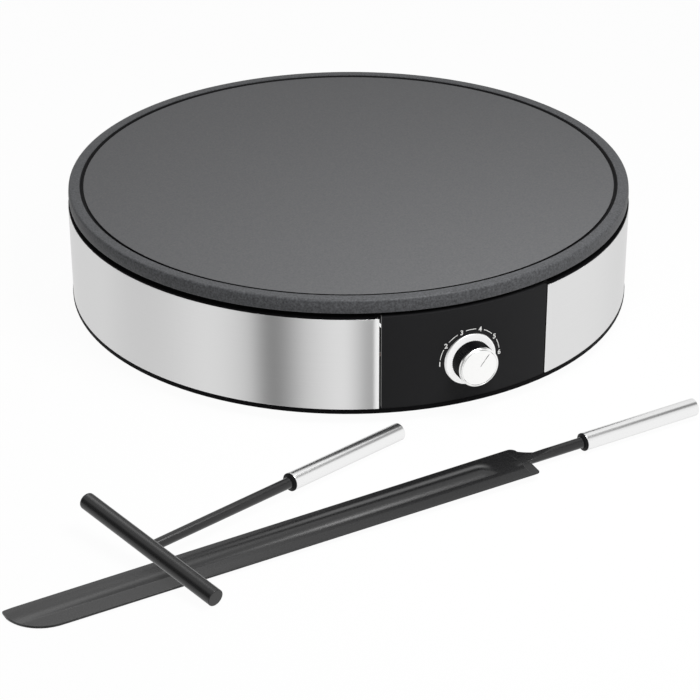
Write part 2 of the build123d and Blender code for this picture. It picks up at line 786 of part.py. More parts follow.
with BuildPart() as base_shell:
    with BuildSketch(Plane.XZ) as base_profile:
        with BuildLine():
            Polyline(
                (0, base_bottom),
                (base_rim_radius, base_bottom),
                (base_rim_radius, band_bottom),
                (base_wall_outer, band_bottom),
                (base_wall_outer, base_wall_top),
                (base_wall_inner, base_wall_top),
                (base_wall_inner, floor_top),
                (0, floor_top),
                close=True,
            )
        make_face()
        corners = base_profile.vertices()
        fillet(corners.sort_by_distance((base_rim_radius, base_bottom))[0], base_rim_fillet)
    revolve(axis=Axis.Z)
    # The wall behind the band stops at the control panel
    with BuildSketch(Plane.XY.offset(band_bottom)):
        add(front_sector(ring_cut_radius - base_wall_thickness, past_body_radius,
                         panel_opening_angle))
    extrude(amount=base_wall_top - band_bottom, mode=Mode.SUBTRACT)
    # Posts for the plate, pillars for the ring and for the panel, tower for the inlet
    with BuildSketch(Plane.XY.offset(floor_top)):
        with PolarLocations(plate_boss_circle, plate_boss_count, plate_boss_start):
            Circle(plate_post_radius)
    extrude(amount=plate_post_top - floor_top)
    with BuildSketch(Plane.XY.offset(floor_top)):
        with PolarLocations(case_screw_circle, case_screw_count):
            Circle(case_boss_radius)
    extrude(amount=case_boss_bottom - floor_top)
    with BuildSketch(Plane.XY.offset(floor_top)):
        with Locations((panel_lug_x, panel_lug_y), (-panel_lug_x, panel_lug_y)):
            Circle(panel_lug_radius)
    extrude(amount=panel_pillar_top - floor_top)
    with BuildSketch(Plane.XY.offset(floor_top)):
        with Locations((0, (gland_tower_front + gland_tower_back) / 2.0)):
            Rectangle(gland_tower_width, gland_tower_depth)
    extrude(amount=gland_tower_height)
    # Screw holes, each with a deep seat for the head
    with BuildSketch(Plane.XY.offset(base_bottom)):
        with PolarLocations(plate_boss_circle, plate_boss_count, plate_boss_start):
            Circle(plate_head_radius + screw_head_clearance)
    extrude(amount=plate_post_seat - base_bottom, mode=Mode.SUBTRACT)
    with BuildSketch(Plane.XY.offset(plate_post_seat)):
        with PolarLocations(plate_boss_circle, plate_boss_count, plate_boss_start):
            Circle(plate_screw_radius + screw_clearance)
    extrude(amount=plate_post_top - plate_post_seat, mode=Mode.SUBTRACT)
    with BuildSketch(Plane.XY.offset(base_bottom)):
        with PolarLocations(case_screw_circle, case_screw_count):
            Circle(case_head_radius + screw_head_clearance)
    extrude(amount=case_pillar_seat - base_bottom, mode=Mode.SUBTRACT)
    with BuildSketch(Plane.XY.offset(case_pillar_seat)):
        with PolarLocations(case_screw_circle, case_screw_count):
            Circle(case_screw_radius + screw_clearance)
    extrude(amount=case_boss_bottom - case_pillar_seat, mode=Mode.SUBTRACT)
    with BuildSketch(Plane.XY.offset(base_bottom)):
        with Locations((panel_lug_x, panel_lug_y), (-panel_lug_x, panel_lug_y)):
            Circle(case_head_radius + screw_head_clearance)
    extrude(amount=panel_pillar_seat - base_bottom, mode=Mode.SUBTRACT)
    with BuildSketch(Plane.XY.offset(panel_pillar_seat)):
        with Locations((panel_lug_x, panel_lug_y), (-panel_lug_x, panel_lug_y)):
            Circle(case_screw_radius + screw_clearance)
    extrude(amount=panel_pillar_top - panel_pillar_seat, mode=Mode.SUBTRACT)
    # Foot holes, vents and the hole of the inlet
    with BuildSketch(Plane.XY.offset(base_bottom)):
        with PolarLocations(foot_circle, foot_count, foot_start):
            Circle(foot_stem_radius + screw_clearance)
        with Locations((0, vent_distance), (0, -vent_distance)):
            with GridLocations(vent_pitch, 0, vent_count, 1):
                SlotOverall(vent_length, vent_width, rotation=90)
    extrude(amount=floor_thickness, mode=Mode.SUBTRACT)
    with BuildSketch(Plane(origin=(0, 0, gland_height), x_dir=(1, 0, 0), z_dir=(0, -1, 0))
                     .offset(-gland_tower_front)):
        Circle(gland_sleeve_radius + screw_clearance)
    extrude(amount=-(base_rim_radius - gland_tower_front), mode=Mode.SUBTRACT)

base_shell.part.label = "base_shell"
export_step(base_shell.part, "parts/base_shell.step")

# ---------------------------------------------------------------- feet

with BuildPart() as rubber_feet:
    with BuildSketch():
        with PolarLocations(foot_circle, foot_count, foot_start):
            Circle(foot_radius)
    extrude(amount=foot_height)
    bottom_edges = rubber_feet.faces().group_by(Axis.Z)[0].edges()
    chamfer(bottom_edges, foot_chamfer)
    with BuildSketch(Plane.XY.offset(foot_height)):
        with PolarLocations(foot_circle, foot_count, foot_start):
            Circle(foot_stem_radius)
    extrude(amount=floor_thickness)
    with BuildSketch(Plane.XY.offset(floor_top)):
        with PolarLocations(foot_circle, foot_count, foot_start):
            Circle(foot_barb_radius)
    extrude(amount=foot_barb_height, taper=foot_barb_taper)

rubber_feet.part.label = "rubber_feet"
export_step(rubber_feet.part, "parts/rubber_feet.step")

# ---------------------------------------------------------------- top ring

with BuildPart() as top_ring:
    with BuildSketch(Plane.XZ):
        with BuildLine():
            Polyline(
                (ring_inner_radius, ring_deck_bottom),
                (ring_skirt_inner, ring_deck_bottom),
                (ring_skirt_inner, band_top - ring_skirt_depth),
                (ring_skirt_outer, band_top - ring_skirt_depth),
                (ring_skirt_outer, band_top),
                (band_radius - fit_gap, band_top),
                (band_radius - fit_gap, lip_top),
                (ring_inner_radius + ring_upstand_thickness, lip_top),
                (ring_inner_radius + ring_upstand_thickness, lip_top + ring_upstand_height),
                (ring_inner_radius, lip_top + ring_upstand_height),
                close=True,
            )
        make_face()
    revolve(axis=Axis.Z)
    with BuildSketch(Plane.XY.offset(case_boss_bottom)):
        with PolarLocations(case_screw_circle, case_screw_count):
            Circle(case_boss_radius)
    extrude(amount=ring_deck_bottom - case_boss_bottom)
    with BuildSketch(Plane.XY.offset(case_boss_bottom)):
        with PolarLocations(case_screw_circle, case_screw_count):
            Circle(case_screw_radius + screw_clearance)
    extrude(amount=case_screw_length - (case_boss_bottom - case_pillar_seat) + blind_hole_spare,
            mode=Mode.SUBTRACT)
    # Lip and skirt stop at the control panel
    with BuildSketch(Plane.XY.offset(band_top - ring_skirt_depth)):
        add(front_sector(ring_cut_radius, past_body_radius, panel_opening_angle))
    extrude(amount=ring_skirt_depth + lip_thickness, mode=Mode.SUBTRACT)

top_ring.part.label = "top_ring"
export_step(top_ring.part, "parts/top_ring.step")

with BuildPart() as case_screws:
    with BuildSketch(Plane.XY.offset(case_pillar_seat - case_head_height)):
        with PolarLocations(case_screw_circle, case_screw_count):
            Circle(case_head_radius)
    extrude(amount=case_head_height)
    with BuildSketch(Plane.XY.offset(case_pillar_seat)):
        with PolarLocations(case_screw_circle, case_screw_count):
            Circle(case_screw_radius)
    extrude(amount=case_screw_length)
    with BuildSketch(Plane.XY.offset(panel_pillar_seat - case_head_height)):
        with Locations((panel_lug_x, panel_lug_y), (-panel_lug_x, panel_lug_y)):
            Circle(case_head_radius)
    extrude(amount=case_head_height)
    with BuildSketch(Plane.XY.offset(panel_pillar_seat)):
        with Locations((panel_lug_x, panel_lug_y), (-panel_lug_x, panel_lug_y)):
            Circle(case_screw_radius)
    extrude(amount=case_screw_length)

case_screws.part.label = "case_screws"
export_step(case_screws.part, "parts/case_screws.step")

# ---------------------------------------------------------------- steel band

with BuildPart() as steel_band:
    with BuildSketch(Plane.XY.offset(band_bottom)):
        Circle(band_radius)
        Circle(band_inner_radius, mode=Mode.SUBTRACT)
        add(front_sector(ring_cut_radius, past_body_radius, band_end_angle), mode=Mode.SUBTRACT)
    extrude(amount=band_height)
    # Ends folded inwards beside the panel
    with BuildSketch(Plane.XY.offset(band_bottom)):
        add(front_sector(ring_cut_radius, band_inner_radius, band_end_angle + band_flange_angle))
        add(front_sector(ring_cut_radius - cut_margin, past_body_radius, band_end_angle),
            mode=Mode.SUBTRACT)
    extrude(amount=band_height)
    # Hole for the inlet
    with BuildSketch(Plane(origin=(0, ring_skirt_inner, gland_height), z_dir=(0, 1, 0))):
        Circle(gland_sleeve_radius + fit_gap)
    extrude(amount=band_radius, mode=Mode.SUBTRACT)

steel_band.part.label = "steel_band"
export_step(steel_band.part, "parts/steel_band.step")

# ---------------------------------------------------------------- control panel

with BuildPart() as control_panel:
    with BuildSketch(Plane.XY.offset(band_bottom)):
        add(front_sector(panel_inner_radius, panel_radius, panel_half_angle))
    extrude(amount=lip_top - band_bottom)
    # Lugs for the screws that come up from the base, each on a web
    with BuildSketch(Plane.XY.offset(panel_pillar_top)):
        with Locations((panel_lug_x, panel_lug_y), (-panel_lug_x, panel_lug_y)):
            Circle(panel_lug_radius)
        with Locations((panel_lug_x, panel_lug_y - panel_lug_inset / 2.0),
                       (-panel_lug_x, panel_lug_y - panel_lug_inset / 2.0)):
            Rectangle(panel_lug_radius, panel_lug_inset)
        Circle(panel_radius - cut_margin, mode=Mode.INTERSECT)
    extrude(amount=panel_lug_top - panel_pillar_top)
    # Bosses for the bracket
    with BuildSketch(along_y(bracket_front_y)):
        with Locations((bracket_screw_x, 0), (-bracket_screw_x, 0)):
            Circle(bracket_boss_radius)
    extrude(amount=panel_inner_radius + bracket_front_y)
    # Holes
    with BuildSketch(Plane.XY.offset(panel_pillar_top)):
        with Locations((panel_lug_x, panel_lug_y), (-panel_lug_x, panel_lug_y)):
            Circle(case_screw_radius + screw_clearance)
    extrude(amount=panel_lug_top - panel_pillar_top, mode=Mode.SUBTRACT)
    with BuildSketch(along_y(bracket_front_y)):
        with Locations((bracket_screw_x, 0), (-bracket_screw_x, 0)):
            Circle(bracket_screw_radius + screw_clearance)
    extrude(amount=bracket_screw_length, mode=Mode.SUBTRACT)
    with BuildSketch(along_y(bracket_front_y)):
        Circle(shaft_hole_radius)
    extrude(amount=panel_radius, mode=Mode.SUBTRACT)
    with BuildSketch(along_y(seat_y)):
        Circle(collar_radius + fit_gap)
    extrude(amount=collar_seat_depth + cut_margin, mode=Mode.SUBTRACT)

control_panel.part.label = "control_panel"
export_step(control_panel.part, "parts/control_panel.step")

with BuildPart() as dial_markings:
    for position in range(dial_numeral_count):
        with BuildSketch(on_panel(dial_start + position * dial_step)):
            for start, end in zip(numeral_lines[position], numeral_lines[position][1:]):
                stroke = (Vector(*end) - Vector(*start)) * numeral_height
                middle_point = (Vector(*end) + Vector(*start)) * (numeral_height / 2.0)
                with Locations(middle_point):
                    SlotCenterToCenter(stroke.length, numeral_stroke,
                                       rotation=math.degrees(math.atan2(stroke.Y, stroke.X)))
        extrude(amount=marking_thickness)
    for position in range(dial_numeral_count - 1):
        middle_angle = dial_start + (position + 0.5) * dial_step
        middle = math.radians(middle_angle)
        dial_centre = (-dial_radius * math.sin(middle), -dial_radius * math.cos(middle))
        arc_start = 90.0 - middle_angle - dial_step / 2.0 + dial_arc_margin
        arc_sweep = dial_step - 2.0 * dial_arc_margin
        with BuildSketch(on_panel(middle_angle)):
            with BuildLine():
                outer_arc = CenterArc(dial_centre, dial_outer_radius, arc_start, arc_sweep)
                inner_arc = CenterArc(dial_centre, dial_inner_radius, arc_start, arc_sweep)
                Line(outer_arc @ 0, inner_arc @ 0)
                Line(outer_arc @ 1, inner_arc @ 1)
            make_face()
        extrude(amount=marking_thickness)

dial_markings.part.label = "dial_markings"
export_step(dial_markings.part, "parts/dial_markings.step")

# ---------------------------------------------------------------- knob

with BuildPart() as knob_collar:
    with BuildSketch(Plane.YZ):
        with BuildLine():
            Polyline(
                (seat_y, knob_height + collar_hole_radius),
                (seat_y, knob_height + collar_radius),
                (collar_front_y, knob_height + collar_radius),
                (collar_front_y, knob_height + collar_radius - collar_land_width),
                (collar_dish_y, knob_height + collar_hole_radius + collar_inner_land),
                (collar_dish_y, knob_height + collar_hole_radius),
                close=True,
            )
        make_face()
    revolve(axis=Axis((0, 0, knob_height), (0, 1, 0)))
    outer_rim = knob_collar.edges().filter_by(GeomType.CIRCLE).group_by(Axis.Y)[0]
    fillet(outer_rim, collar_fillet)

knob_collar.part.label = "knob_collar"
export_step(knob_collar.part, "parts/knob_collar.step")

with BuildPart() as knob_grip:
    with BuildSketch(along_y(knob_back_y)):
        Circle(knob_radius)
        with PolarLocations(knob_radius, knob_rib_count):
            Circle(knob_rib_groove, mode=Mode.SUBTRACT)
    extrude(amount=knob_back_y - knob_ring_back_y)
    with BuildSketch(along_y(knob_back_y)):
        Circle(shaft_bore_radius)
        with Locations((0, shaft_flat_x + shaft_running_gap + shaft_radius)):
            Rectangle(4.0 * shaft_radius, 2.0 * shaft_radius, mode=Mode.SUBTRACT)
    extrude(amount=knob_back_y - shaft_front_y + shaft_running_gap, mode=Mode.SUBTRACT)

knob_grip.part.label = "knob_grip"
export_step(knob_grip.part, "parts/knob_grip.step")

knob_cap_radius = knob_radius - knob_ring_width - knob_cap_gap
with BuildPart() as knob_ring:
    with BuildSketch(along_y(knob_ring_back_y)):
        Circle(knob_radius)
        Circle(knob_radius - knob_ring_width, mode=Mode.SUBTRACT)
    extrude(amount=knob_ring_height)
    front_edges = knob_ring.edges().filter_by(GeomType.CIRCLE).group_by(Axis.Y)[0]
    chamfer(front_edges.sort_by(SortBy.RADIUS)[-1], knob_ring_chamfer)

knob_ring.part.label = "knob_ring"
export_step(knob_ring.part, "parts/knob_ring.step")

pointer_turn = Rotation(0, 0, -pointer_angle)
with BuildPart() as knob_cap:
    with BuildSketch(along_y(knob_ring_back_y)):
        Circle(knob_cap_radius)
    extrude(amount=knob_ring_height)
    with BuildSketch(along_y(knob_front_y) * pointer_turn):
        with Locations((0, (pointer_inner + pointer_outer) / 2.0)):
            Rectangle(pointer_width, pointer_outer - pointer_inner)
    extrude(amount=-pointer_depth, mode=Mode.SUBTRACT)

knob_cap.part.label = "knob_cap"
export_step(knob_cap.part, "parts/knob_cap.step")

with BuildPart() as knob_pointer:
    with BuildSketch(along_y(knob_front_y) * pointer_turn):
        with Locations((0, (pointer_inner + pointer_outer) / 2.0)):
            Rectangle(pointer_width, pointer_outer - pointer_inner)
    extrude(amount=-pointer_depth)

knob_pointer.part.label = "knob_pointer"
export_step(knob_pointer.part, "parts/knob_pointer.step")

# ---------------------------------------------------------------- thermostat

with BuildPart() as thermostat_bracket:
    with BuildSketch(along_y(bracket_back_y)):
        Rectangle(bracket_width, bracket_height)
        Circle(bush_radius + screw_clearance, mode=Mode.SUBTRACT)
        with Locations((bracket_screw_x, 0), (-bracket_screw_x, 0)):
            Circle(bracket_screw_radius + screw_clearance, mode=Mode.SUBTRACT)
    extrude(amount=bracket_thickness)
    with BuildSketch(along_y(bracket_back_y)):
        with Locations((0, bracket_height / 2.0 - bracket_thickness / 2.0),
                       (0, bracket_thickness / 2.0 - bracket_height / 2.0)):
            Rectangle(bracket_width, bracket_thickness)
    extrude(amount=bracket_thickness + bracket_flange)

thermostat_bracket.part.label = "thermostat_bracket"
export_step(thermostat_bracket.part, "parts/thermostat_bracket.step")

with BuildPart() as bracket_screws:
    with BuildSketch(along_y(bracket_back_y)):
        with Locations((bracket_screw_x, 0), (-bracket_screw_x, 0)):
            Circle(bracket_head_radius)
    extrude(amount=-bracket_head_height)
    with BuildSketch(along_y(bracket_back_y)):
        with Locations((bracket_screw_x, 0), (-bracket_screw_x, 0)):
            Circle(bracket_screw_radius)
    extrude(amount=bracket_screw_length)

bracket_screws.part.label = "bracket_screws"
export_step(bracket_screws.part, "parts/bracket_screws.step")

with BuildPart() as thermostat_body:
    with BuildSketch(along_y(body_back_y)):
        RectangleRounded(body_width, body_width, body_corner)
    extrude(amount=body_depth)
    with BuildSketch(along_y(body_back_y)):
        Rectangle(cavity_width, cavity_height)
    extrude(amount=body_back_y - cavity_front_y, mode=Mode.SUBTRACT)
    with BuildSketch(along_y(cavity_front_y)):
        Circle(bush_radius + screw_clearance)
    extrude(amount=body_wall, mode=Mode.SUBTRACT)

thermostat_body.part.label = "thermostat_body"
export_step(thermostat_body.part, "parts/thermostat_body.step")

with BuildPart() as thermostat_bush:
    with BuildSketch(along_y(cavity_front_y)):
        Circle(bush_radius)
        Circle(shaft_bore_radius, mode=Mode.SUBTRACT)
    extrude(amount=cavity_front_y - bush_front_y)

thermostat_bush.part.label = "thermostat_bush"
export_step(thermostat_bush.part, "parts/thermostat_bush.step")

with BuildPart() as bush_nut:
    with BuildSketch(along_y(bracket_front_y)):
        RegularPolygon(bush_nut_flats / 2.0, 6, major_radius=False)
        Circle(bush_radius + screw_clearance, mode=Mode.SUBTRACT)
    extrude(amount=bush_nut_height)

bush_nut.part.label = "bush_nut"
export_step(bush_nut.part, "parts/bush_nut.step")

with BuildPart() as thermostat_shaft:
    with BuildSketch(along_y(shaft_collar_front_y)):
        Circle(shaft_radius)
    extrude(amount=shaft_collar_front_y - shaft_front_y)
    # Flat that drives the knob
    with BuildSketch(along_y(knob_back_y)):
        with Locations((0, shaft_flat_x + shaft_radius)):
            Rectangle(4.0 * shaft_radius, 2.0 * shaft_radius)
    extrude(amount=knob_back_y - shaft_front_y, mode=Mode.SUBTRACT)
    with BuildSketch(along_y(shaft_collar_back_y)):
        Circle(shaft_collar_radius)
    extrude(amount=shaft_collar_height)
    with BuildSketch(along_y(spindle_end_y)):
        Circle(spindle_radius)
    extrude(amount=spindle_end_y - shaft_collar_back_y)

thermostat_shaft.part.label = "thermostat_shaft"
export_step(thermostat_shaft.part, "parts/thermostat_shaft.step")

with BuildPart() as adjusting_nut:
    with BuildSketch(along_y(nut_back_y)):
        Rectangle(nut_width, nut_width)
    extrude(amount=nut_height)
    with BuildSketch(along_y(nut_nose_y)):
        Circle(nut_nose_radius)
    extrude(amount=nut_nose_y - nut_back_y)
    with BuildSketch(along_y(nut_bore_end_y)):
        Circle(spindle_radius + shaft_running_gap)
    extrude(amount=nut_bore_end_y - nut_front_y, mode=Mode.SUBTRACT)

adjusting_nut.part.label = "adjusting_nut"
export_step(adjusting_nut.part, "parts/adjusting_nut.step")

with BuildPart() as diaphragm_capsule:
    with BuildSketch(along_y(capsule_back_y)):
        Circle(capsule_radius)
    extrude(amount=capsule_thickness)
    with BuildSketch(along_y(body_back_y)):
        Circle(capsule_button_radius)
    extrude(amount=capsule_button_height)

diaphragm_capsule.part.label = "diaphragm_capsule"
export_step(diaphragm_capsule.part, "parts/diaphragm_capsule.step")

thermostat_tab_y = body_back_y - thermostat_tab_depth
thermostat_tab_end = body_width / 2.0 + thermostat_tab_length
with BuildPart() as thermostat_tabs:
    with BuildSketch(Plane.XY.offset(knob_height - tab_thickness / 2.0)):
        with Locations((body_width / 2.0 + thermostat_tab_length / 2.0, thermostat_tab_y),
                       (-body_width / 2.0 - thermostat_tab_length / 2.0, thermostat_tab_y)):
            Rectangle(thermostat_tab_length, tab_width)
    extrude(amount=tab_thickness)

thermostat_tabs.part.label = "thermostat_tabs"
export_step(thermostat_tabs.part, "parts/thermostat_tabs.step")

# ---------------------------------------------------------------- wiring

with BuildPart() as terminal_block:
    with BuildSketch(Plane.XY.offset(floor_top)):
        with Locations((0, block_y)):
            Rectangle(block_width, block_depth)
    extrude(amount=block_height)
    with BuildSketch(Plane(origin=(0, block_front_y, block_wire_z), x_dir=(1, 0, 0), z_dir=(0, -1, 0))):
        with GridLocations(block_pole_pitch, 0, block_pole_count, 1):
            Circle(lead_radius + block_wire_gap)
    extrude(amount=-block_depth, mode=Mode.SUBTRACT)
    with BuildSketch(Plane.XY.offset(block_top - block_well_depth)):
        with Locations((0, block_y + block_screw_y), (0, block_y - block_screw_y)):
            with GridLocations(block_pole_pitch, 0, block_pole_count, 1):
                Circle(block_screw_radius + block_well_clearance)
    extrude(amount=block_well_depth, mode=Mode.SUBTRACT)

terminal_block.part.label = "terminal_block"
export_step(terminal_block.part, "parts/terminal_block.step")

with BuildPart() as terminal_screws:
    with BuildSketch(Plane.XY.offset(block_top - block_well_depth)):
        with Locations((0, block_y + block_screw_y), (0, block_y - block_screw_y)):
            with GridLocations(block_pole_pitch, 0, block_pole_count, 1):
                Circle(block_screw_radius)
    extrude(amount=block_screw_length)
    with BuildSketch(Plane.XY.offset(block_top - block_well_depth + block_screw_length)):
        with Locations((0, block_y + block_screw_y), (0, block_y - block_screw_y)):
            with GridLocations(block_pole_pitch, 0, block_pole_count, 1):
                Rectangle(2.0 * block_screw_radius, block_screw_slot_width)
    extrude(amount=-block_screw_slot_depth, mode=Mode.SUBTRACT)

terminal_screws.part.label = "terminal_screws"
export_step(terminal_screws.part, "parts/terminal_screws.step")

capillary_points = [
    (0, capsule_back_y, knob_height),
    (0, -112.0, knob_height),
    (0, -60.0, 44.0),
    (0, -44.0, bulb_height),
    (0, bulb_front, bulb_height),
]
live_points = [
    (-thermostat_tab_end - lead_end_gap, thermostat_tab_y, knob_height),
    (-thermostat_tab_end - lead_straight, thermostat_tab_y, knob_height),
    (-36.0, -118.0, 16.0),
    (-16.0, -60.0, 13.0),
    (-12.0, 40.0, 13.0),
    (-block_pole_pitch, 88.0, block_wire_z),
    (-block_pole_pitch, block_lead_end_y, block_wire_z),
]
element_tab_end_y = element_tab_length - element_leg_end
switched_points = [
    (thermostat_tab_end + lead_end_gap, thermostat_tab_y, knob_height),
    (thermostat_tab_end + lead_straight, thermostat_tab_y, knob_height),
    (36.0, -112.0, 40.0),
    (10.0, -60.0, 46.0),
    (element_leg_offset - 4.0, -40.0, 58.0),
    (element_leg_offset, element_tab_end_y + lead_straight, element_height),
    (element_leg_offset, element_tab_end_y + lead_end_gap, element_height),
]
fuse_lead_points = [
    (-element_leg_offset, element_tab_end_y + lead_end_gap, element_height),
    (-element_leg_offset, element_tab_end_y + 6.0, element_height),
    (fuse_x, fuse_front - 5.0, fuse_height),
    (fuse_x, fuse_front - lead_end_gap, fuse_height),
]
neutral_points = [
    (fuse_x, fuse_front + fuse_length + lead_end_gap, fuse_height),
    (fuse_x, 26.0, fuse_height - 2.0),
    (-shield_lead_hole_x, shield_lead_hole_y, shield_bottom),
    (-16.0, 68.0, 34.0),
    (0, 88.0, block_wire_z),
    (0, block_lead_end_y, block_wire_z),
]
earth_start_z = (clip_top + clip_bottom) / 2.0
earth_points = [
    (earth_tag_x, earth_tag_end + lead_end_gap, earth_start_z),
    (earth_tag_x, earth_tag_end + 6.5, earth_start_z),
    (shield_lead_hole_x - 1.0, shield_lead_hole_y + 4.0, shield_bottom - 8.0),
    (18.0, 68.0, 34.0),
    (block_pole_pitch, 88.0, block_wire_z),
    (block_pole_pitch, block_lead_end_y, block_wire_z),
]
leads = [
    ("capillary_tube", capillary_points, capillary_radius),
    ("live_lead", live_points, lead_radius),
    ("switched_lead", switched_points, lead_radius),
    ("fuse_lead", fuse_lead_points, lead_radius),
    ("neutral_lead", neutral_points, lead_radius),
    ("earth_lead", earth_points, lead_radius),
]
for lead_name, lead_points, tube_radius in leads:
    with BuildPart() as lead:
        with BuildLine() as lead_route:
            FilletPolyline(*lead_points, radius=bend_radii(lead_points))
        with BuildSketch(Plane(origin=lead_route.line @ 0, z_dir=lead_route.line % 0)):
            Circle(tube_radius)
        sweep(path=lead_route.line)
    lead.part.label = lead_name
    export_step(lead.part, f"parts/{lead_name}.step")

# ---------------------------------------------------------------- inlet

with BuildPart() as cord_gland:
    with BuildSketch(Plane.YZ):
        with BuildLine():
            Polyline(
                (gland_inner_end, gland_height + gland_bore_radius),
                (gland_inner_end, gland_height + gland_sleeve_radius),
                (band_radius + fit_gap, gland_height + gland_sleeve_radius),
                (band_radius + fit_gap, gland_height + gland_flange_radius),
                (band_radius + gland_flange_thickness, gland_height + gland_face_radius),
                (band_radius + gland_flange_thickness, gland_height + gland_bore_radius),
                close=True,
            )
        make_face()
    revolve(axis=Axis((0, 0, gland_height), (0, 1, 0)))

cord_gland.part.label = "cord_gland"
export_step(cord_gland.part, "parts/cord_gland.step")

# ---------------------------------------------------------------- turner

# The tip of the blade lies on the table, and so does the collar of the ferrule
turner_rod_start = blade_length + blade_neck_length
turner_tube_start = turner_rod_start + turner_neck_length
turner_length = turner_tube_start + turner_handle_length
blade_rib_full = blade_rib_start + blade_rib_rise
blade_rib_end = blade_length - blade_rib_margin
turner_slope = (ferrule_radius - blade_axis_height) / turner_tube_start
turner_yaw_rad = math.radians(turner_yaw)
turner_axis = Vector(math.cos(turner_yaw_rad), math.sin(turner_yaw_rad), turner_slope)
turner_side = Vector(-math.sin(turner_yaw_rad), math.cos(turner_yaw_rad), 0)
turner_plane = Plane(
    origin=(turner_x, turner_y, turner_table_gap),
    x_dir=turner_axis,
    z_dir=turner_axis.cross(turner_side),
)
turner_axis_line = Axis(
    turner_plane.from_local_coords(Vector(0, 0, blade_axis_height)),
    turner_plane.x_dir,
)
turner_section = Plane(
    origin=turner_plane.from_local_coords(Vector(0, 0, blade_axis_height)),
    x_dir=turner_plane.x_dir,
    z_dir=turner_plane.y_dir,
)
half_blade = blade_width / 2.0
half_tip = blade_tip_width / 2.0
half_neck = rod_radius - blade_neck_inset


def rib_plane(along):
    """Plane across the blade on the line of its rib, its normal along the blade."""
    return Plane(
        origin=turner_plane.from_local_coords(Vector(along, blade_rib_offset, blade_thickness)),
        x_dir=turner_plane.y_dir,
        z_dir=turner_plane.x_dir,
    )


def rib_section(width, height):
    """Section of the rib: a low arc on a straight base."""
    with BuildSketch(Plane.XY) as section:
        with BuildLine():
            base = Line((-width / 2.0, 0), (width / 2.0, 0))
            ThreePointArc(base @ 1, (0, height), base @ 0)
        make_face()
    return section.sketch


with BuildPart() as turner_blade:
    with BuildSketch(turner_plane) as blade_outline:
        with BuildLine():
            end_edge = ThreePointArc(
                (0, half_tip), (blade_corner_x, blade_corner_y), (blade_corner_run, -half_tip))
            Polyline(
                end_edge @ 1,
                (blade_length, -half_blade),
                (blade_length, -half_neck),
                (turner_rod_start, -half_neck),
                (turner_rod_start, half_neck),
                (blade_length, half_neck),
                (blade_length, half_blade),
                end_edge @ 0,
            )
        make_face()
        for side in (-1, 1):
            corners = blade_outline.vertices()
            shoulder = (blade_length, side * half_blade)
            fillet(corners.sort_by_distance(shoulder)[0], blade_corner_fillet)
            corners = blade_outline.vertices()
            hollow = (blade_length, side * half_neck)
            fillet(corners.sort_by_distance(hollow)[0], blade_neck_fillet)
    extrude(amount=blade_thickness)
    # Rounded rib along the blade, lower towards the tip
    for along, width, height in (
            (blade_rib_start, blade_rib_start_width, blade_rib_start_height),
            (blade_rib_full, blade_rib_width, blade_rib_height)):
        with BuildSketch(rib_plane(along)):
            add(rib_section(width, height))
    loft()
    with BuildSketch(rib_plane(blade_rib_full)):
        add(rib_section(blade_rib_width, blade_rib_height))
    extrude(amount=blade_rib_end - blade_rib_full)
    # Round ends of the rib, each turned outwards by half a turn
    for along, width, height, turn in (
            (blade_rib_start, blade_rib_start_width, blade_rib_start_height, 180.0),
            (blade_rib_end, blade_rib_width, blade_rib_height, -180.0)):
        with BuildSketch(rib_plane(along)):
            add(rib_section(width, height))
            Rectangle(width, 4.0 * height, align=(Align.MAX, Align.CENTER), mode=Mode.SUBTRACT)
        revolve(axis=Axis(rib_plane(along).origin, turner_plane.z_dir), revolution_arc=turn)
    # Root that carries the rod
    with BuildSketch(turner_section):
        with BuildLine():
            Polyline(
                (turner_rod_start - blade_root_length, 0),
                (turner_rod_start, 0),
                (turner_rod_start, rod_radius),
                (turner_rod_start - blade_root_shoulder, rod_radius),
                close=True,
            )
        make_face()
    revolve(axis=turner_axis_line)

turner_blade.part.label = "turner_blade"
export_step(turner_blade.part, "parts/turner_blade.step")

with BuildPart() as turner_rod:
    with BuildSketch(turner_section):
        with BuildLine():
            Polyline(
                (turner_rod_start, 0),
                (turner_tube_start + ferrule_spigot_length, 0),
                (turner_tube_start + ferrule_spigot_length, rod_radius),
                (turner_rod_start, rod_radius),
                close=True,
            )
        make_face()
    revolve(axis=turner_axis_line)

turner_rod.part.label = "turner_rod"
export_step(turner_rod.part, "parts/turner_rod.step")

with BuildPart() as turner_ferrule:
    with BuildSketch(turner_section):
        add(ferrule_profile(turner_tube_start))
    revolve(axis=turner_axis_line)

turner_ferrule.part.label = "turner_ferrule"
export_step(turner_ferrule.part, "parts/turner_ferrule.step")

with BuildPart() as turner_handle:
    with BuildSketch(turner_section):
        add(handle_profile(turner_tube_start, turner_length))
    revolve(axis=turner_axis_line)

turner_handle.part.label = "turner_handle"
export_step(turner_handle.part, "parts/turner_handle.step")

# ---------------------------------------------------------------- spreader

# The near end of the bar and the end of the handle touch the table. The bar lies across the
# blade, on its edge or on its rib, so its far end stands up.
spreader_yaw_rad = math.radians(spreader_yaw)
spreader_along = Vector(math.cos(spreader_yaw_rad), math.sin(spreader_yaw_rad), 0)
spreader_across = Vector(-math.sin(spreader_yaw_rad), math.cos(spreader_yaw_rad), 0)
turner_ahead = Vector(turner_axis.X, turner_axis.Y, 0)


def bar_crossing(side_at_tip, side_at_neck):
    """Where the bar passes over a line down the blade: along the bar, and from the tip."""
    line = turner_ahead * blade_length + turner_side * (side_at_neck - side_at_tip)
    line_normal = Vector(-line.Y, line.X, 0)
    to_line = Vector(turner_x - spreader_x, turner_y - spreader_y, 0) + turner_side * side_at_tip
    along_bar = to_line.dot(line_normal) / spreader_across.dot(line_normal)
    return along_bar, (spreader_across * along_bar - to_line).dot(turner_ahead)


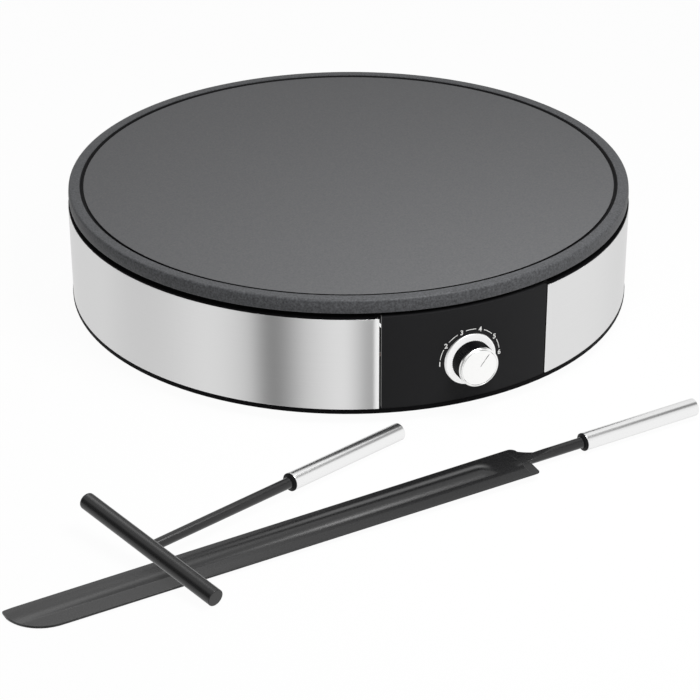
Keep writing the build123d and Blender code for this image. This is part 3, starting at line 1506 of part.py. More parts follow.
edge_crossing, edge_from_tip = bar_crossing(-half_tip, -half_blade)
rib_crossing, rib_from_tip = bar_crossing(blade_rib_offset, blade_rib_offset)
rib_share = min(1.0, (rib_from_tip - blade_rib_start) / blade_rib_rise)
rib_under_bar = blade_rib_start_height + (blade_rib_height - blade_rib_start_height) * rib_share
edge_top = turner_slope * edge_from_tip + blade_thickness
rib_top = turner_slope * rib_from_tip + blade_thickness + rib_under_bar
table_end = spreader_bar_length / 2.0
bar_slope = max((edge_top + spreader_blade_gap) / (table_end + edge_crossing),
                (rib_top + spreader_blade_gap) / (table_end + rib_crossing))
bar_middle_height = spreader_bar_radius + turner_table_gap + bar_slope * table_end
spreader_tube_start = spreader_neck_length
spreader_length = spreader_tube_start + spreader_handle_length
shaft_slope = (handle_radius + turner_table_gap - bar_middle_height) / spreader_length
spreader_x_dir = (spreader_along + Vector(0, 0, shaft_slope)).normalized()
spreader_y_raw = (spreader_across + Vector(0, 0, bar_slope)).normalized()
spreader_normal = spreader_x_dir.cross(spreader_y_raw).normalized()
spreader_plane = Plane(
    origin=(spreader_x, spreader_y, bar_middle_height),
    x_dir=spreader_x_dir,
    z_dir=spreader_normal,
)
spreader_axis_line = Axis(spreader_plane.origin, spreader_plane.x_dir)
spreader_section = Plane(
    origin=spreader_plane.origin,
    x_dir=spreader_plane.x_dir,
    z_dir=spreader_plane.y_dir,
)
spreader_ferrule_start = spreader_tube_start - ferrule_length

with BuildPart() as spreader_bar:
    with BuildSketch(spreader_section.offset(-spreader_bar_length / 2.0)):
        Circle(spreader_bar_radius)
    extrude(amount=spreader_bar_length)
    fillet(spreader_bar.edges().filter_by(GeomType.CIRCLE), spreader_bar_fillet)
    # Blind hole for the rod
    with BuildSketch(Plane(origin=spreader_plane.origin, z_dir=spreader_plane.x_dir)):
        Circle(spreader_rod_radius + push_fit_gap)
    extrude(amount=spreader_bar_radius + cut_margin, mode=Mode.SUBTRACT)

spreader_bar.part.label = "spreader_bar"
export_step(spreader_bar.part, "parts/spreader_bar.step")

with BuildPart() as spreader_rod:
    with BuildSketch(spreader_section):
        with BuildLine():
            Polyline(
                (0, 0),
                (spreader_tube_start + ferrule_spigot_length, 0),
                (spreader_tube_start + ferrule_spigot_length, rod_radius),
                (spreader_ferrule_start, rod_radius),
                (spreader_bar_radius, spreader_rod_radius),
                (0, spreader_rod_radius),
                close=True,
            )
        make_face()
    revolve(axis=spreader_axis_line)

spreader_rod.part.label = "spreader_rod"
export_step(spreader_rod.part, "parts/spreader_rod.step")

with BuildPart() as spreader_ferrule:
    with BuildSketch(spreader_section):
        add(ferrule_profile(spreader_tube_start))
    revolve(axis=spreader_axis_line)

spreader_ferrule.part.label = "spreader_ferrule"
export_step(spreader_ferrule.part, "parts/spreader_ferrule.step")

with BuildPart() as spreader_handle:
    with BuildSketch(spreader_section):
        add(handle_profile(spreader_tube_start, spreader_length))
    revolve(axis=spreader_axis_line)

spreader_handle.part.label = "spreader_handle"
export_step(spreader_handle.part, "parts/spreader_handle.step")
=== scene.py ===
import math

import bmesh
import bpy
from mathutils import Matrix, Vector


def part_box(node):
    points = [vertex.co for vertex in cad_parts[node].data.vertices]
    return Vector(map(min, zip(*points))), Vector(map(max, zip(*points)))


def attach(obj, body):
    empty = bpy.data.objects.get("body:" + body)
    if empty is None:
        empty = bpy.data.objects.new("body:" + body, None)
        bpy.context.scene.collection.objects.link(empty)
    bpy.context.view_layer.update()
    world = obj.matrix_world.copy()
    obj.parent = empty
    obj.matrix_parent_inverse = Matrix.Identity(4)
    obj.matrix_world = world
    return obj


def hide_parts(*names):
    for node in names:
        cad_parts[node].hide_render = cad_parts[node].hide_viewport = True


# Electric crepe maker with its batter spreader and its long turner: the looks.
# Every size below is in millimetres in the part's own frame, and MM turns it to metres.

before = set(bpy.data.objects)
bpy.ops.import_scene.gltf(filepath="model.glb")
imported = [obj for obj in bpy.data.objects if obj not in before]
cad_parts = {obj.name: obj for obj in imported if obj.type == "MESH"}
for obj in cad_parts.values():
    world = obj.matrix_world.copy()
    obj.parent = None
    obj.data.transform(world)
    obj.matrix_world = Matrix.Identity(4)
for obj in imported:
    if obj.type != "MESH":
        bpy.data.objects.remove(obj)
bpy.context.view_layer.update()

MM = 0.001
BODY = Matrix.Scale(MM, 4)
Z_AXIS = Vector((0.0, 0.0, 1.0))

# ---- sizes

# Body, from the table up
BAND_BOTTOM = 9.3
BAND_TOP = 67.3
BAND_RADIUS = 175.5
BAND_SHEET = 0.8
BAND_END_ANGLE = 17.84
BAND_FOLD_RADIUS = 0.5
BAND_FOLD_DEPTH = 3.8
# Narrow rows along both edges, and half the square patch round the inlet
BAND_HEM = 0.3
BAND_PATCH = 9.0
PLATE_BOTTOM = 70.8
PLATE_TOP = 79.3
PLATE_RADIUS = 175.0
DISC_TOP = 78.6
DISC_BOTTOM = 74.0
DISC_EDGE = 165.6
GROOVE_FLOOR = 77.4
RIM_INNER = 168.2
WALL_INNER = 169.0
WALL_BULGE = 0.3
PANEL_RADIUS = 175.4
PLATE_SEAT = 62.0
# Inner and outer radius of the pad for the element
ELEMENT_PAD = (87.5, 102.5)
# Radius of a screw boss, radius of their circle, their count, and the first one's bearing
PLATE_BOSSES = (8.0, 128.0, 4, 45.0)

# Inlet at the back
GLAND_HEIGHT = 25.0
GLAND_BORE = 3.7
GLAND_SLEEVE = 6.8
GLAND_HOLE = 7.0
GLAND_FLANGE = 9.5
GLAND_LIP = 8.4

# Knob and dial: along the knob's axis, sizes run outwards from the axis of the body
KNOB_HEIGHT = 34.5
COLLAR_SEAT = 173.8
COLLAR_FRONT = 176.0
COLLAR_DISH = 174.9
COLLAR_RADIUS = 16.0
COLLAR_HOLE = 6.5
KNOB_BACK = 176.3
KNOB_FRONT = 187.4
KNOB_RING_BACK = 185.6
KNOB_RADIUS = 12.25
KNOB_RIBS = 60
KNOB_RIB_RADIUS = 0.35
KNOB_RING_WALL = 1.1
KNOB_CHAMFER = 0.7
CAP_RADIUS = 10.9
DIAL_RADIUS = 19.0
DIAL_START = -90.0
DIAL_STEP = 36.0
DIAL_COUNT = 6
NUMERAL_HEIGHT = 3.1
ARC_WIDTH = 0.42
ARC_MARGIN = 8.0
# Under side and face of the print, out from the panel
PRINT_LAYERS = (0.012, 0.09)

# Feet
FOOT_CIRCLE = 150.0
FOOT_RADIUS = 9.0
FOOT_HEIGHT = 6.0
STEM_RADIUS = 3.0
STEM_HEAD_RADIUS = 4.2
STEM_HEAD_HEIGHT = 1.6
FLOOR_TOP = 8.5

# Turner, in its own frame: u along it from the tip, v across, w up
TABLE_GAP = 0.05
TURNER_ORIGIN = (-306.0, -278.2, TABLE_GAP)
TURNER_YAW = 6.05
TURNER_TUBE = 349.0
TURNER_GRIP = 347.3
TURNER_END = 424.6
TURNER_ROD = 314.5
BLADE_LENGTH = 309.0
BLADE_TIP_HALF = 12.85
BLADE_END_HALF = 14.45
BLADE_CORNER = (8.5, -8.0)
BLADE_CORNER_RUN = 25.0
BLADE_THICKNESS = 1.4
BLADE_EDGE = 0.35
FAR_SHOULDER = 4.0
NEAR_SHOULDER = 2.5
NEAR_HOLLOW = 1.5
TIP_ROUNDING = 1.6
TIP_RUN = 7.0
TIP_THINNING = 0.25
# The near edge thins out past a line along the blade, from one place along it to another
EDGE_LINE = -7.3
EDGE_SLOPE = 0.1
EDGE_START = 80.0
EDGE_FULL = 160.0
# The neck sinks and its ramp rises out of the blade, and a web runs out beside it
NECK_START = 298.0
NECK_FULL = 308.0
RAMP_START = 300.0
WEB_END = 326.0
WEB_WIDTH = 7.0
WEB_CURVE = 2.4
RIB_OFFSET = 3.3
RIB_CREST = 2.2
RIB_START = 18.0
RIB_FULL = 190.0
RIB_END = 283.0
RIB_TIP_SHARE = 0.55
RIB_START_SIZE = (12.0, 0.5)
RIB_FULL_SIZE = (14.4, 1.8)
AXIS_HEIGHT = 1.1
ROD_RADIUS = 3.1
FERRULE_RADIUS = 5.3
HANDLE_RADIUS = 5.15
HANDLE_BORE = 4.35
HANDLE_CAP = 1.2
FERRULE_LENGTH = 1.9
FERRULE_NOSE = 4.0
TUBE_PLUG = 6.0
PLUG_GAP = 0.03

# Spreader
SPREADER_CENTRE = (-224.1, -254.8)
SPREADER_YAW = 20.9
SPREADER_TUBE = 102.8
SPREADER_GRIP = 100.8
SPREADER_END = 185.5
SPREADER_ROD_RADIUS = 2.95
BAR_HALF = 52.35
BAR_RADIUS = 4.8
BAR_GAP = 0.3


# ---- frames

def frame_at(origin, x_dir, z_dir):
    """Matrix from millimetres in a local frame to metres in the part's frame."""
    z_axis = Vector(z_dir).normalized()
    y_axis = z_axis.cross(Vector(x_dir)).normalized()
    x_axis = y_axis.cross(z_axis)
    turned = Matrix((x_axis, y_axis, z_axis)).transposed().to_4x4()
    return Matrix.Translation(Vector(origin) * MM) @ turned @ BODY


# Knob: x to the right, y up, z out of the panel
KNOB = frame_at((0.0, 0.0, KNOB_HEIGHT), (1, 0, 0), (0, -1, 0))
# The same place for meshes that are in metres already
KNOB_TURN = KNOB @ Matrix.Scale(1.0 / MM, 4)

turner_yaw = math.radians(TURNER_YAW)
turner_slope = (FERRULE_RADIUS - AXIS_HEIGHT) / TURNER_TUBE
turner_along = Vector((math.cos(turner_yaw), math.sin(turner_yaw), turner_slope))
turner_side = Vector((-math.sin(turner_yaw), math.cos(turner_yaw), 0.0))
turner_up = turner_along.cross(turner_side).normalized()
TURNER = frame_at(TURNER_ORIGIN, turner_along, turner_up)
# The same place with z along the rod's axis, for turned pieces
TURNER_SHAFT = frame_at(
    Vector(TURNER_ORIGIN) + turner_up * AXIS_HEIGHT, turner_side, turner_along)

# The near end of the bar rests on the table, and the bar lies across the blade
spreader_yaw = math.radians(SPREADER_YAW)
spreader_along = Vector((math.cos(spreader_yaw), math.sin(spreader_yaw), 0.0))
spreader_across = Vector((-math.sin(spreader_yaw), math.cos(spreader_yaw), 0.0))
turner_ahead = Vector((turner_along.x, turner_along.y, 0.0))


def bar_crossing(side_at_tip, side_at_neck):
    """Where the bar passes over a line down the blade: along the bar, and from the tip."""
    line = turner_ahead * BLADE_LENGTH + turner_side * (side_at_neck - side_at_tip)
    line_normal = Vector((-line.y, line.x, 0.0))
    to_line = Vector((TURNER_ORIGIN[0] - SPREADER_CENTRE[0],
                      TURNER_ORIGIN[1] - SPREADER_CENTRE[1], 0.0)) + turner_side * side_at_tip
    along_bar = to_line.dot(line_normal) / spreader_across.dot(line_normal)
    return along_bar, (spreader_across * along_bar - to_line).dot(turner_ahead)


edge_crossing, edge_from_tip = bar_crossing(-BLADE_TIP_HALF, -BLADE_END_HALF)
rib_crossing, rib_from_tip = bar_crossing(RIB_OFFSET, RIB_OFFSET)
rib_share = min(1.0, (rib_from_tip - RIB_START) / (RIB_FULL - RIB_START))
rib_under_bar = RIB_START_SIZE[1] + (RIB_FULL_SIZE[1] - RIB_START_SIZE[1]) * rib_share
edge_top = turner_slope * edge_from_tip + BLADE_THICKNESS
rib_top = turner_slope * rib_from_tip + BLADE_THICKNESS + rib_under_bar
bar_slope = max((edge_top + BAR_GAP) / (BAR_HALF + edge_crossing),
                (rib_top + BAR_GAP) / (BAR_HALF + rib_crossing))
bar_height = BAR_RADIUS + TABLE_GAP + bar_slope * BAR_HALF
shaft_slope = (HANDLE_RADIUS + TABLE_GAP - bar_height) / SPREADER_END
spreader_x = (spreader_along + Z_AXIS * shaft_slope).normalized()
spreader_up = spreader_x.cross((spreader_across + Z_AXIS * bar_slope).normalized()).normalized()
spreader_y = spreader_up.cross(spreader_x)
SPREADER_MIDDLE = (SPREADER_CENTRE[0], SPREADER_CENTRE[1], bar_height)
SPREADER_SHAFT = frame_at(SPREADER_MIDDLE, spreader_y, spreader_x)
SPREADER_BAR = frame_at(SPREADER_MIDDLE, spreader_up, spreader_y)


# ---- objects, colours and nodes

def placed(name, data):
    """A new object in the scene."""
    made = bpy.data.objects.new(name, data)
    bpy.context.scene.collection.objects.link(made)
    return made


def mesh_of(bm, name):
    """A mesh with the faces of bm, which is let go."""
    mesh = bpy.data.meshes.new(name)
    bm.to_mesh(mesh)
    bm.free()
    return mesh


def gray(level):
    return (level, level, level, 1.0)


def linear(hex_colour):
    """sRGB hex colour as the linear RGBA that shaders take."""
    shares = [int(hex_colour[i:i + 2], 16) / 255.0 for i in (1, 3, 5)]
    curved = [c / 12.92 if c <= 0.04045 else ((c + 0.055) / 1.055) ** 2.4 for c in shares]
    return curved + [1.0]


def add(tree, kind, inputs=None, **settings):
    """Adds one node, sets its properties, and fills or links its inputs.

    A kind without its family is a shader node's.
    """
    node = tree.nodes.new(kind if "Node" in kind else "ShaderNode" + kind)
    for name, value in settings.items():
        setattr(node, name, value)
    for key, value in (inputs or {}).items():
        if isinstance(value, bpy.types.NodeSocket):
            tree.links.new(value, node.inputs[key])
        else:
            node.inputs[key].default_value = value
    return node


def new_material(name):
    """An empty node material with its output, ready for a surface."""
    made = bpy.data.materials.new(name)
    made.use_nodes = True
    made.node_tree.nodes.clear()
    return made, made.node_tree


def finish_material(made, tree, shader):
    add(tree, "OutputMaterial", {"Surface": shader.outputs["BSDF"]})
    return made


def grained(name, dark, light, grain, bump, roughness, uniform, coarse=None):
    """Surface with a fine even grain: mottled colour, roughness and bump from one noise.

    grain and bump are millimetres; roughness is the pair that the grain runs between.
    """
    made, tree = new_material(name)
    place = add(tree, "TexCoord").outputs["Object"]
    noise = add(tree, "TexNoise", {
        "Vector": place, "Scale": 1.0 / (grain * MM), "Detail": 3.0, "Roughness": 0.6})
    spread = add(tree, "MapRange", {
        "Value": noise.outputs["Fac"], "From Min": 0.3, "From Max": 0.7})
    share = spread.outputs["Result"]
    if coarse:
        patches = add(tree, "TexNoise", {
            "Vector": place, "Scale": 1.0 / (coarse * MM), "Detail": 2.0})
        share = add(tree, "Mix", {
            "Factor": 0.35, "A": share, "B": patches.outputs["Fac"]}).outputs["Result"]
    colour = add(tree, "Mix", {
        "Factor": share, "A": linear(dark), "B": linear(light)}, data_type="RGBA")
    rough = add(tree, "MapRange", {
        "Value": share, "To Min": roughness[0], "To Max": roughness[1]})
    height = add(tree, "Bump", {
        "Height": share, "Distance": bump * MM, "Strength": 1.0})
    shader = add(tree, "BsdfPrincipled", {
        "Base Color": colour.outputs["Result"],
        "Roughness": rough.outputs["Result"],
        "Normal": height.outputs["Normal"],
        **uniform})
    return finish_material(made, tree, shader)


def brushed(name, dark, light, line, run, roughness, anisotropy, turn=0.25):
    """Brushed metal: streaks along the piece's own u, in metres on its UV map.

    line is the width of a streak and run its length, in millimetres.
    """
    made, tree = new_material(name)
    surface = add(tree, "UVMap", uv_map="surface").outputs["UV"]
    stretched = add(tree, "Mapping", {
        "Vector": surface, "Scale": (1.0 / (run * MM), 1.0 / (line * MM), 1.0)})
    noise = add(tree, "TexNoise", {
        "Vector": stretched.outputs["Vector"], "Scale": 1.0, "Detail": 4.0, "Roughness": 0.65})
    colour = add(tree, "Mix", {
        "Factor": noise.outputs["Fac"], "A": linear(dark), "B": linear(light)}, data_type="RGBA")
    rough = add(tree, "MapRange", {
        "Value": noise.outputs["Fac"], "From Min": 0.3, "From Max": 0.7,
        "To Min": roughness[0], "To Max": roughness[1]})
    along = add(tree, "Tangent", direction_type="UV_MAP", uv_map="surface")
    shader = add(tree, "BsdfPrincipled", {
        "Base Color": colour.outputs["Result"],
        "Metallic": 1.0,
        "Roughness": rough.outputs["Result"],
        "Anisotropic": anisotropy,
        "Anisotropic Rotation": turn,
        "Tangent": along.outputs["Tangent"]})
    return finish_material(made, tree, shader)


# ---- shapes

def rounded(corners, steps=5, closed=True):
    """Outline with rounded corners; a corner is (x, y) or (x, y, radius)."""
    points = []
    count = len(corners)
    for index, corner in enumerate(corners):
        here = Vector(corner[:2])
        radius = corner[2] if len(corner) > 2 else 0.0
        if radius == 0.0 or (not closed and index in (0, count - 1)):
            points.append(here)
            continue
        back = (Vector(corners[index - 1][:2]) - here).normalized()
        ahead = (Vector(corners[(index + 1) % count][:2]) - here).normalized()
        half = back.angle(ahead) / 2.0
        centre = here + (back + ahead).normalized() * (radius / math.sin(half))
        first = here + back * (radius / math.tan(half)) - centre
        turn = math.pi - 2.0 * half
        if -back.x * ahead.y + back.y * ahead.x < 0.0:
            turn = -turn
        for step in range(steps + 1):
            points.append(centre + Matrix.Rotation(turn * step / steps, 2) @ first)
    return points


def close_mesh(bm):
    bmesh.ops.remove_doubles(bm, verts=bm.verts, dist=1e-7)
    bmesh.ops.recalc_face_normals(bm, faces=bm.faces)


def held(outline):
    """Adds points close to both ends of long runs, so that flats shade flat beside a rounding."""
    near = 0.15
    points = []
    for first, second in zip(outline, outline[1:] + outline[:1]):
        here, ahead = Vector(first), Vector(second)
        run = ahead - here
        points.append(here)
        if run.length > 6.0 * near:
            points.append(here + run.normalized() * near)
            points.append(ahead - run.normalized() * near)
    return points


def lathe(bm, outline, steps, place, material=0, lengthwise=False):
    """Turns a closed outline of (radius, height) once about the local z axis.

    material is a number, or a function that gives it from radius and height. The map runs round
    the piece, or along it where lengthwise is set.
    """
    uv = bm.loops.layers.uv.verify()
    widest = max(point[0] for point in outline)
    lengths = [0.0]
    for first, second in zip(outline, outline[1:] + outline[:1]):
        lengths.append(lengths[-1] + (Vector(second) - Vector(first)).length)
    rings = []
    for step in range(steps):
        turn = 2.0 * math.pi * step / steps
        ring = []
        for radius, height in outline:
            spot = Vector((radius * math.cos(turn), radius * math.sin(turn), height))
            ring.append(bm.verts.new(place @ spot))
        rings.append(ring)
    count = len(outline)
    for step in range(steps):
        here, ahead = rings[step], rings[(step + 1) % steps]
        for index in range(count):
            nxt = (index + 1) % count
            if outline[index][0] < 1e-6 and outline[nxt][0] < 1e-6:
                continue
            corners = [here[index], ahead[index], ahead[nxt], here[nxt]]
            around = [step, step + 1, step + 1, step]
            down = [lengths[index], lengths[index], lengths[index + 1], lengths[index + 1]]
            face = bm.faces.new(corners)
            middle = (Vector(outline[index]) + Vector(outline[nxt])) / 2.0
            face.material_index = material(*middle) if callable(material) else material
            for loop, share, length in zip(face.loops, around, down):
                arc = widest * 2.0 * math.pi * share / steps
                spot = (arc * MM, length * MM)
                loop[uv].uv = spot[::-1] if lengthwise else spot


def skin(bm, sections, place):
    """Closed sections with equal numbers of points, joined along the piece."""
    uv = bm.loops.layers.uv.verify()
    rings = [[bm.verts.new(place @ Vector(point)) for point in section] for section in sections]
    count = len(sections[0])
    for number in range(len(rings) - 1):
        for index in range(count):
            nxt = (index + 1) % count
            face = bm.faces.new([rings[number][index], rings[number][nxt],
                                 rings[number + 1][nxt], rings[number + 1][index]])
            for loop in face.loops:
                loop[uv].uv = (loop.vert.co.x, loop.vert.co.y)
    for ring in (rings[0], rings[-1]):
        bm.faces.new(ring)


def piece(name, bm, materials, body, nodes, crease=30.0):
    """Makes the mesh a piece that rides on its body and stands for its CAD nodes."""
    mesh = mesh_of(bm, name)
    if mesh.uv_layers:
        mesh.uv_layers[0].name = "surface"
    mesh.polygons.foreach_set("use_smooth", [True] * len(mesh.polygons))
    mesh.set_sharp_from_angle(angle=math.radians(crease))
    made = placed(name, mesh)
    for one in materials:
        mesh.materials.append(one)
    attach(made, body)
    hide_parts(*nodes)
    # Polished faces show the studio's cards, not the pieces beside them
    made.visible_glossy = False
    return made


def turned_piece(name, outline, steps, place, finish, body, node, lengthwise=False):
    """A piece of one finish that is turned about its own axis and stands for one node."""
    bm = bmesh.new()
    lathe(bm, outline, steps, place, lengthwise=lengthwise)
    close_mesh(bm)
    return piece(name, bm, [finish], body, [node])


def repeated(name, count, ring_radius, start, finish, place, unit):
    """Mesh of one unit set round a circle by Geometry Nodes; unit builds it in metres."""
    bm = bmesh.new()
    unit(bm)
    close_mesh(bm)
    mesh = mesh_of(bm, name + "_unit")
    tree = bpy.data.node_groups.new(name + "_ring", "GeometryNodeTree")
    face = tree.interface
    face.new_socket("Unit", in_out="INPUT", socket_type="NodeSocketGeometry")
    kinds = {"Count": "Int", "Ring radius": "Float", "Start angle": "Float", "Finish": "Material"}
    sockets = {label: face.new_socket(label, in_out="INPUT", socket_type="NodeSocket" + kind)
               for label, kind in kinds.items()}
    face.new_socket("Ring", in_out="OUTPUT", socket_type="NodeSocketGeometry")
    given = add(tree, "NodeGroupInput").outputs
    circle = add(tree, "GeometryNodeMeshCircle", {
        "Vertices": given["Count"], "Radius": given["Ring radius"]})
    turn = add(tree, "CombineXYZ", {"Z": given["Start angle"]})
    turned = add(tree, "GeometryNodeTransform", {
        "Geometry": circle.outputs["Mesh"], "Rotation": turn.outputs["Vector"]})
    spot = add(tree, "GeometryNodeInputPosition")
    outwards = add(tree, "FunctionNodeAlignRotationToVector", {
        "Vector": spot.outputs["Position"]}, axis="X")
    copies = add(tree, "GeometryNodeInstanceOnPoints", {
        "Points": turned.outputs["Geometry"], "Instance": given["Unit"],
        "Rotation": outwards.outputs["Rotation"]})
    real = add(tree, "GeometryNodeRealizeInstances", {"Geometry": copies.outputs["Instances"]})
    painted = add(tree, "GeometryNodeSetMaterial", {
        "Geometry": real.outputs["Geometry"], "Material": given["Finish"]})
    add(tree, "NodeGroupOutput", {"Ring": painted.outputs["Geometry"]})
    holder = placed(name + "_holder", mesh)
    ring = holder.modifiers.new("ring", "NODES")
    ring.node_group = tree
    values = {"Count": count, "Ring radius": ring_radius * MM, "Start angle": math.radians(start),
              "Finish": finish}
    for label, socket in sockets.items():
        ring[socket.identifier] = values[label]
    evaluated = holder.evaluated_get(bpy.context.evaluated_depsgraph_get())
    result = bpy.data.meshes.new_from_object(evaluated)
    holder.modifiers.clear()
    bpy.data.objects.remove(holder)
    made = bmesh.new()
    made.from_mesh(result)
    made.transform(place)
    bpy.data.meshes.remove(result)
    return made


def smooth(low, high, value):
    share = min(1.0, max(0.0, (value - low) / (high - low)))
    return share * share * (3.0 - 2.0 * share)


def circle_through(a, b, c):
    """Centre and radius of the circle through three points."""
    ax, ay = a
    bx, by = b
    cx, cy = c
    d = 2.0 * (ax * (by - cy) + bx * (cy - ay) + cx * (ay - by))
    ux = ((ax * ax + ay * ay) * (by - cy) + (bx * bx + by * by) * (cy - ay)
          + (cx * cx + cy * cy) * (ay - by)) / d
    uy = ((ax * ax + ay * ay) * (cx - bx) + (bx * bx + by * by) * (ax - cx)
          + (cx * cx + cy * cy) * (bx - ax)) / d
    return (ux, uy), math.hypot(ax - ux, ay - uy)


# ---- finishes

METAL = {"Metallic": 1.0}
PLASTIC = {"IOR": 1.5}


def dull(level):
    """Plastic or coating with less sheen than its index gives."""
    return {**PLASTIC, "Specular IOR Level": level}


# Cast aluminium sprayed with a matt non-stick coating: dark gray, an even fine grain.
disc_coating = grained(
    "nonstick_coating_disc", "#5a5b5d", "#686869", 1.0, 0.012, (0.46, 0.54), dull(0.08))
# The same coating on the cast rim and wall, where the spray lies rougher.
rim_coating = grained(
    "nonstick_coating_rim", "#242526", "#646568", 1.2, 0.07, (0.44, 0.6), dull(0.25), coarse=3.0)
# Floor of the groove, with painted shade: the coating is made near black because the groove stays in
# the dark.
groove_painted_shade = grained(
    "nonstick_coating_groove_painted_shade", "#0b0b0c", "#121213", 1.0, 0.02, (0.6, 0.7), dull(0.1))
# Stainless steel brushed round the band; streaks drawn 0.5 mm wide, coarser than real, to show.
band_steel = brushed("stainless_steel_brushed_band", "#e2e2e2", "#e8e8e8", 0.5, 90.0, (0.28, 0.3), 1.0)
# Its folded ends, with painted shade: steel shown near black because they stand in the dark gap beside
# the panel.
fold_painted_shade = grained(
    "stainless_steel_fold_painted_shade", "#101010", "#181818", 0.5, 0.002, (0.5, 0.6), dull(0.05))
# Stainless steel tube brushed lengthwise.
handle_steel = brushed(
    "stainless_steel_brushed_tube", "#eeeeee", "#f2f2f2", 0.3, 30.0, (0.245, 0.25), 0.2, turn=0.0)
# Black moulded polyester with a spark-eroded matt texture.
case_plastic = grained(
    "moulded_case_plastic", "#070708", "#0a0a0b", 0.5, 0.003, (0.5, 0.56), dull(0.04))
# Black satin ABS panel, nearly even.
panel_plastic = grained(
    "satin_black_panel", "#252526", "#272728", 0.6, 0.001, (0.3, 0.34), dull(0.04))
# White screen print.
dial_print = grained(
    "white_screen_print", "#f0f0ee", "#f4f4f2", 0.4, 0.001, (0.5, 0.6), PLASTIC)
# Satin silver finish on the collar, pale from every side, and turned aluminium on the knob's face.
collar_metal = grained(
    "satin_silver_collar", "#fafafa", "#fdfdfd", 0.3, 0.0002, (0.4, 0.44), {"Metallic": 0.85})
knob_metal = grained(
    "turned_aluminium_knob", "#f8f8f7", "#fbfbfa", 0.3, 0.0003, (0.22, 0.26), METAL)
# Black moulded ABS of the ribbed grip: matt, with no sheen between the ribs.
knob_plastic = grained(
    "ribbed_black_knob", "#0a0a0c", "#0f0f11", 0.4, 0.001, (0.36, 0.42), dull(0.03))
# Gray paint in the pointer's groove: flat and even.
pointer_paint = grained(
    "gray_pointer_paint", "#3c3c3c", "#464646", 0.3, 0.001, (0.5, 0.6), PLASTIC)
# Glass-filled nylon of the tools: deep black with a satin moulded skin.
tool_plastic = grained(
    "satin_nylon_tools", "#101011", "#141415", 0.8, 0.0004, (0.27, 0.3), PLASTIC)
# The same nylon on the collars at the ends of the tubes, with painted shade: darker than the tools'
# nylon because they lie in their shade.
ferrule_painted_shade = grained(
    "nylon_collars_painted_shade", "#070708", "#0a0a0b", 0.8, 0.0004, (0.4, 0.45), dull(0.12))
# Moulded rubber of the feet: dull black with a coarse, soft skin.
foot_rubber = grained(
    "molded_rubber_feet", "#161616", "#1c1c1c", 0.7, 0.02, (0.7, 0.8), dull(0.3))
# Black nylon of the inlet bush, smoother than the case.
gland_nylon = grained(
    "moulded_nylon_bush", "#141415", "#19191a", 0.6, 0.003, (0.32, 0.4), {"IOR": 1.53})
# Sheathed element: stainless tube dulled brown by heat.
element_sheath = grained(
    "heat_tinted_element_sheath", "#6f6860", "#8a8279", 1.5, 0.01, (0.4, 0.55), METAL)
# Nickel-plated terminals: warm, bright and even.
nickel_plate = grained(
    "nickel_plated_terminals", "#b9b3a6", "#c6c0b3", 0.6, 0.003, (0.28, 0.36), METAL)
# Zinc-plated screws, clips and brackets: pale, slightly bluish, faint spangle.
zinc_plate = grained(
    "zinc_plated_steel", "#b4b8bc", "#c8ccd0", 2.0, 0.004, (0.34, 0.46), METAL, coarse=6.0)
# Aluminised sheet of the heat shield: dull, patchy at the scale of centimetres.
shield_sheet = grained(
    "aluminised_steel_sheet", "#a7a9ab", "#bcbec0", 3.0, 0.006, (0.38, 0.5), METAL, coarse=12.0)
# Drawn copper of the bulb and capillary, a little tarnished.
drawn_copper = grained(
    "drawn_copper_tube", "#a8694c", "#bd7c5c", 1.2, 0.003, (0.3, 0.42), METAL)
# Machined brass of the thermostat's bush, nuts and capsule.
machined_brass = grained(
    "machined_brass", "#b8934e", "#c9a661", 0.5, 0.002, (0.26, 0.34), METAL)
# Turned steel of the thermostat's shaft.
turned_steel = grained(
    "turned_steel_shaft", "#b0b1b3", "#c0c1c3", 0.4, 0.002, (0.28, 0.36), METAL)
# Brown phenolic of the thermostat's case: satin, slightly mottled filler.
phenolic = grained(
    "brown_phenolic_moulding", "#33261d", "#3d2f25", 1.0, 0.006, (0.38, 0.46), {"IOR": 1.55})
# Pale polyamide of the terminal block.
block_polyamide = grained(
    "polyamide_terminal_block", "#d2d0c6", "#dad8cf", 0.8, 0.004, (0.42, 0.5), PLASTIC)
# Painted can of the thermal fuse.
fuse_can = grained(
    "lacquered_fuse_can", "#8f9092", "#9c9d9f", 0.8, 0.003, (0.36, 0.44), METAL)
# Fine woven glass sleeves over the leads, one colour for each line.
brown_sleeve, blue_sleeve, green_sleeve = [
    grained("glass_sleeve_" + colour, dark, light, 0.5, 0.03, (0.6, 0.75), PLASTIC)
    for colour, dark, light in (("brown", "#4a2f20", "#5d3d2b"), ("blue", "#1f4a7c", "#2b5b90"),
                                ("green", "#2f7a37", "#3f8c46"))]


# ---- baking plate

